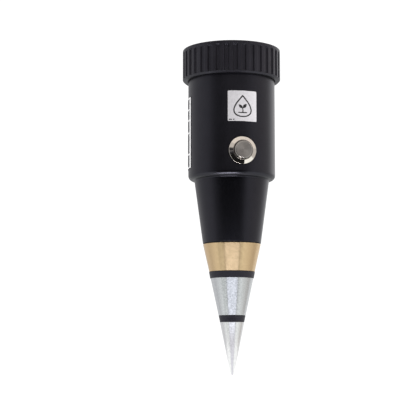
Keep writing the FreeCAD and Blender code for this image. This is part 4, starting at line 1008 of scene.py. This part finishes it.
def make_stack():
    """Point, rings and electrodes. The lower ring has three fine grooves."""
    ring_low, ring_high = box_mm("lower_insulator_ring")
    height = ring_high.z - ring_low.z
    ring_grooves = [ring_low.z + height * share for share in GROOVE_SHARES]
    piece("tip_point", turned_copy("tip_electrode", radius=METAL_EDGE), "machined_aluminium",
          ["tip_electrode"], material="polished_tip")
    piece("lower_ring", turned_copy("lower_insulator_ring", grooves=ring_grooves),
          "insulator_plastic", ["lower_insulator_ring"])
    piece("aluminium_cone", turned_copy("aluminium_electrode", radius=METAL_EDGE),
          "machined_aluminium", ["aluminium_electrode"])
    piece("upper_ring", turned_copy("upper_insulator_ring"), "insulator_plastic",
          ["upper_insulator_ring"])
    piece("brass_cone", turned_copy("brass_electrode", radius=METAL_EDGE), "turned_brass",
          ["brass_electrode"])


def make_switch():
    """Bright bezel and the steel button in it."""
    bezel = turned_copy("switch_bushing", SWITCH_PLACE, METAL_EDGE, SWITCH_COLUMNS)
    piece("button_bezel", bezel, "chrome_bezel", ["switch_bushing"], place=SWITCH_PLACE)
    cap = turned_copy("button_cap", SWITCH_PLACE, CAP_EDGE, SWITCH_COLUMNS)
    piece("button_face", cap, "button_steel", ["button_cap"], "push_button", SWITCH_PLACE)


def make_lens():
    """Clear window under the collar."""
    piece("lens_window", turned_copy("lens", radius=LENS_EDGE), "clear_window", ["lens"])


def dress_cad_nodes():
    """Gives every CAD node that still shows the finish of its slot."""
    for subpart in frame["record"]["subparts"]:
        node = frame["nodes"][subpart["node"]]
        for place in node.material_slots:
            place.material = materials[subpart["material_slot"]]


# ---------------------------------------------------------------- studio

# Each patch of the studio's walls, floor and ceiling, as the object's metal reflects it: colour,
# from and to angle round from the camera and the softness of those edges, from and to elevation
# and the softness of those. A later patch covers an earlier one.
STUDIO_WALL = (0.56, 0.56, 0.57)
STUDIO_PATCHES = (
    ((0.52, 0.50, 0.48), 62, 124, 20, -17, 14, 4),
    ((0.72, 0.68, 0.65), 62, 124, 20, 16, 100, 8),
    ((0.70, 0.70, 0.70), 124, 200, 20, -17, 2, 4),
    ((1.20, 1.20, 1.20), 124, 200, 20, 2, 100, 4),
    ((0.62, 0.62, 0.63), -200, -120, 10, -17, 100, 4),
    ((0.93, 0.96, 0.94), -104, 104, 8, -100, -17, 4),
    ((0.60, 0.62, 0.61), 104, 200, 8, -100, -17, 4),
    ((0.60, 0.62, 0.61), -200, -104, 8, -100, -17, 4),
    ((1.22, 1.25, 1.36), -33, 35, 3, -100, -17, 4),
    ((0.50, 0.50, 0.50), 33, 38, 1.5, -100, -17, 4),
    ((0.50, 0.50, 0.50), -36, -31, 1.5, -100, -17, 4),
    ((0.52, 0.50, 0.48), -50, 60, 6, 14, 40, 4),
    ((0.75, 0.71, 0.665), -60, 62, 6, 40, 72, 4),
    ((0.90, 0.90, 0.90), -200, 200, 6, 72, 100, 8),
    ((16.0, 16.0, 16.2), -50, 24, 6, -72, -50, 4),
    ((0.028, 0.028, 0.032), -62, 46, 8, -15, 2, 4),
    ((0.028, 0.028, 0.032), -50, 46, 34, 2, 12, 8),
    ((0.028, 0.028, 0.032), -52, -16, 16, 8, 18, 6),
)


def in_range(tree, value, low, high, soft):
    """1 between two angles and 0 outside them, both in degrees."""
    low, high, soft = math.radians(low), math.radians(high), math.radians(soft)
    rise = tree.fade(value, low - soft / 2, low + soft / 2)
    fall = tree.fade(value, high - soft / 2, high + soft / 2, 1.0, 0.0)
    return tree.calc("MULTIPLY", rise, fall)


def make_world():
    """The studio that metal and gloss reflect, by direction: the walls and every patch on them."""
    world = bpy.data.worlds.new("studio")
    bpy.context.scene.world = world
    world.use_nodes = True
    tree = Tree(world.node_tree)
    direction = tree.add("TexCoord", {}).outputs["Generated"]
    turn = {"Vector": direction, "Axis": (0, 0, 1), "Angle": math.radians(-CAMERA_AZIMUTH)}
    turned_way = tree.add("VectorRotate", turn, rotation_type="AXIS_ANGLE").outputs[0]
    parts = tree.add("SeparateXYZ", {0: turned_way}).outputs
    side = tree.calc("ARCTAN2", parts[0], tree.calc("MULTIPLY", parts[1], -1.0))
    height = tree.calc("ARCSINE", parts[2])
    colour = STUDIO_WALL
    for patch, left, right, side_soft, low, high, height_soft in STUDIO_PATCHES:
        inside = tree.calc("MULTIPLY", in_range(tree, side, left, right, side_soft),
                           in_range(tree, height, low, high, height_soft))
        colour = tree.mix(inside, colour, patch)
    background = tree.add("Background", {"Color": colour, "Strength": 1.0})
    tree.add("OutputWorld", {"Surface": background.outputs[0]})


def see_only(item, *rays):
    """Leaves an item of the studio visible only to these kinds of ray."""
    for ray in ("camera", "diffuse", "glossy", "transmission", "volume_scatter", "shadow"):
        setattr(item, "visible_" + ray, ray in rays)


def glowing(name, colour, glow, reflectance):
    """A pale matt surface that also gives off a little light, so that it reads as white."""
    material, tree = new_material(name)
    grain = tree.noise(30.0, 2.0)
    darker = tuple(channel * 0.985 for channel in reflectance)
    tree.surface({
        "Base Color": tree.mix(grain, darker, reflectance),
        "Roughness": 0.9,
        "Specular IOR Level": 0.0,
        "Emission Color": colour,
        "Emission Strength": glow,
    })
    return material


FLOOR_RADIUS = 4300.0
FLOOR_GLOW = 0.52
BACKDROP_RADIUS = 4500.0
BACKDROP_GLOW = 1.1
# Dark cards round the front: radius and height of the lower and of the upper edge of each. They
# are what the bezel, the taper and the underside of the collar reflect.
CARDS = ((82, 42, 82, 70), (45, 68, 45, 100), (32, 101, 62, 101))
CARD_START = -50.0
CARD_SWEEP = 67.0
CARD_STEPS = 12
# What the point reflects close under it: a tone and the sectors of floor, round from the camera.
TIP_FLOOR = (
    ("tip_floor_front", (0.75, 0.74, 0.79), ((-32, 32),)),
    ("tip_floor_line", (0.60, 0.60, 0.62), ((-35, -32), (32, 35))),
    ("tip_floor_side", (0.97, 0.98, 0.97), ((-180, -35), (35, 180))),
)
TIP_FLOOR_HOLE = 0.5
TIP_FLOOR_RADIUS = 58.0
TIP_FLOOR_LEVEL = 0.05
TIP_FLOOR_STEP = 5.0


def add_sheet(bm, first, second, start, sweep, steps):
    """A sheet bent round the meter between two edges, each a radius and a height."""
    angles = [start + sweep * i / steps for i in range(steps + 1)]
    rails = [[bm.verts.new(round_the_meter(radius, angle, height) * MM) for angle in angles]
             for radius, height in (first, second)]
    for i in range(steps):
        bm.faces.new((rails[0][i], rails[0][i + 1], rails[1][i + 1], rails[1][i]))


def make_tip_floor(name, tone, sectors):
    """Sectors of floor round the point that only its reflections see."""
    bm = bmesh.new()
    for start, end in sectors:
        add_sheet(bm, (TIP_FLOOR_RADIUS, TIP_FLOOR_LEVEL), (TIP_FLOOR_HOLE, TIP_FLOOR_LEVEL),
                  CAMERA_AZIMUTH + start, end - start, math.ceil((end - start) / TIP_FLOOR_STEP))
    sheet = new_object(name, bm)
    sheet.data.materials.append(glowing(name, tone, 1.0, (0, 0, 0)))
    see_only(sheet, "glossy")


def make_cards():
    """Dark cards that only reflections see."""
    bm = bmesh.new()
    for low_radius, low, high_radius, high in CARDS:
        add_sheet(bm, (low_radius, low), (high_radius, high), CARD_START, CARD_SWEEP, CARD_STEPS)
    cards = new_object("dark_cards", bm)
    cards.data.materials.append(glowing("card_black", (0, 0, 0), 0.0, (0.01, 0.01, 0.01)))
    see_only(cards, "glossy")
    return cards


def make_stage():
    """Pale floor, white surroundings, dark cards and the floor that the point reflects."""
    bm = bmesh.new()
    bmesh.ops.create_circle(bm, cap_ends=True, segments=96, radius=FLOOR_RADIUS * MM)
    floor = new_object("floor", bm)
    floor.data.materials.append(glowing("floor_white", (1, 1, 1), FLOOR_GLOW, (0.9, 0.9, 0.9)))
    see_only(floor, "camera", "diffuse", "shadow", "transmission")
    bm = bmesh.new()
    bmesh.ops.create_uvsphere(bm, u_segments=64, v_segments=32, radius=BACKDROP_RADIUS * MM)
    backdrop = new_object("backdrop", bm)
    backdrop.data.materials.append(glowing("backdrop_white", (1, 1, 1), BACKDROP_GLOW, (0, 0, 0)))
    see_only(backdrop, "camera")
    make_cards()
    for name, tone, sectors in TIP_FLOOR:
        make_tip_floor(name, tone, sectors)


# Name, angle round the meter, height, distance from its axis, size and power in watts.
LAMPS = (
    ("key_lamp", -125, 600, 1100, 700, 4.0),
    ("fill_lamp", 65, 500, 1100, 900, 9.0),
    ("top_lamp", 160, 1400, 300, 1000, 4.0),
)
LAMP_AIM = 90.0


def add_lamp(name, angle, height, distance, size, energy):
    """A softbox that lights matt surfaces. The studio's patches are what metal reflects."""
    data = bpy.data.lights.new(name, "AREA")
    data.size, data.energy = size * MM, energy
    lamp = bpy.data.objects.new(name, data)
    place = round_the_meter(distance, angle, height) * MM
    lamp.location = place
    aim = Vector((0, 0, LAMP_AIM * MM)) - place
    lamp.rotation_mode = "QUATERNION"
    lamp.rotation_quaternion = aim.to_track_quat("-Z", "Y")
    lamp.visible_glossy = False
    lamp.visible_camera = False
    bpy.context.scene.collection.objects.link(lamp)


# ---------------------------------------------------------------- the whole scene

bpy.context.scene.view_settings.view_transform = "Standard"
make_camera()
make_world()
make_stage()
for lamp in LAMPS:
    add_lamp(*lamp)
materials = make_materials()
dress_cad_nodes()
make_housing()
make_collar()
make_lens()
make_stack()
make_switch()
make_symbol_label()
make_side_label()
make_dial_print()
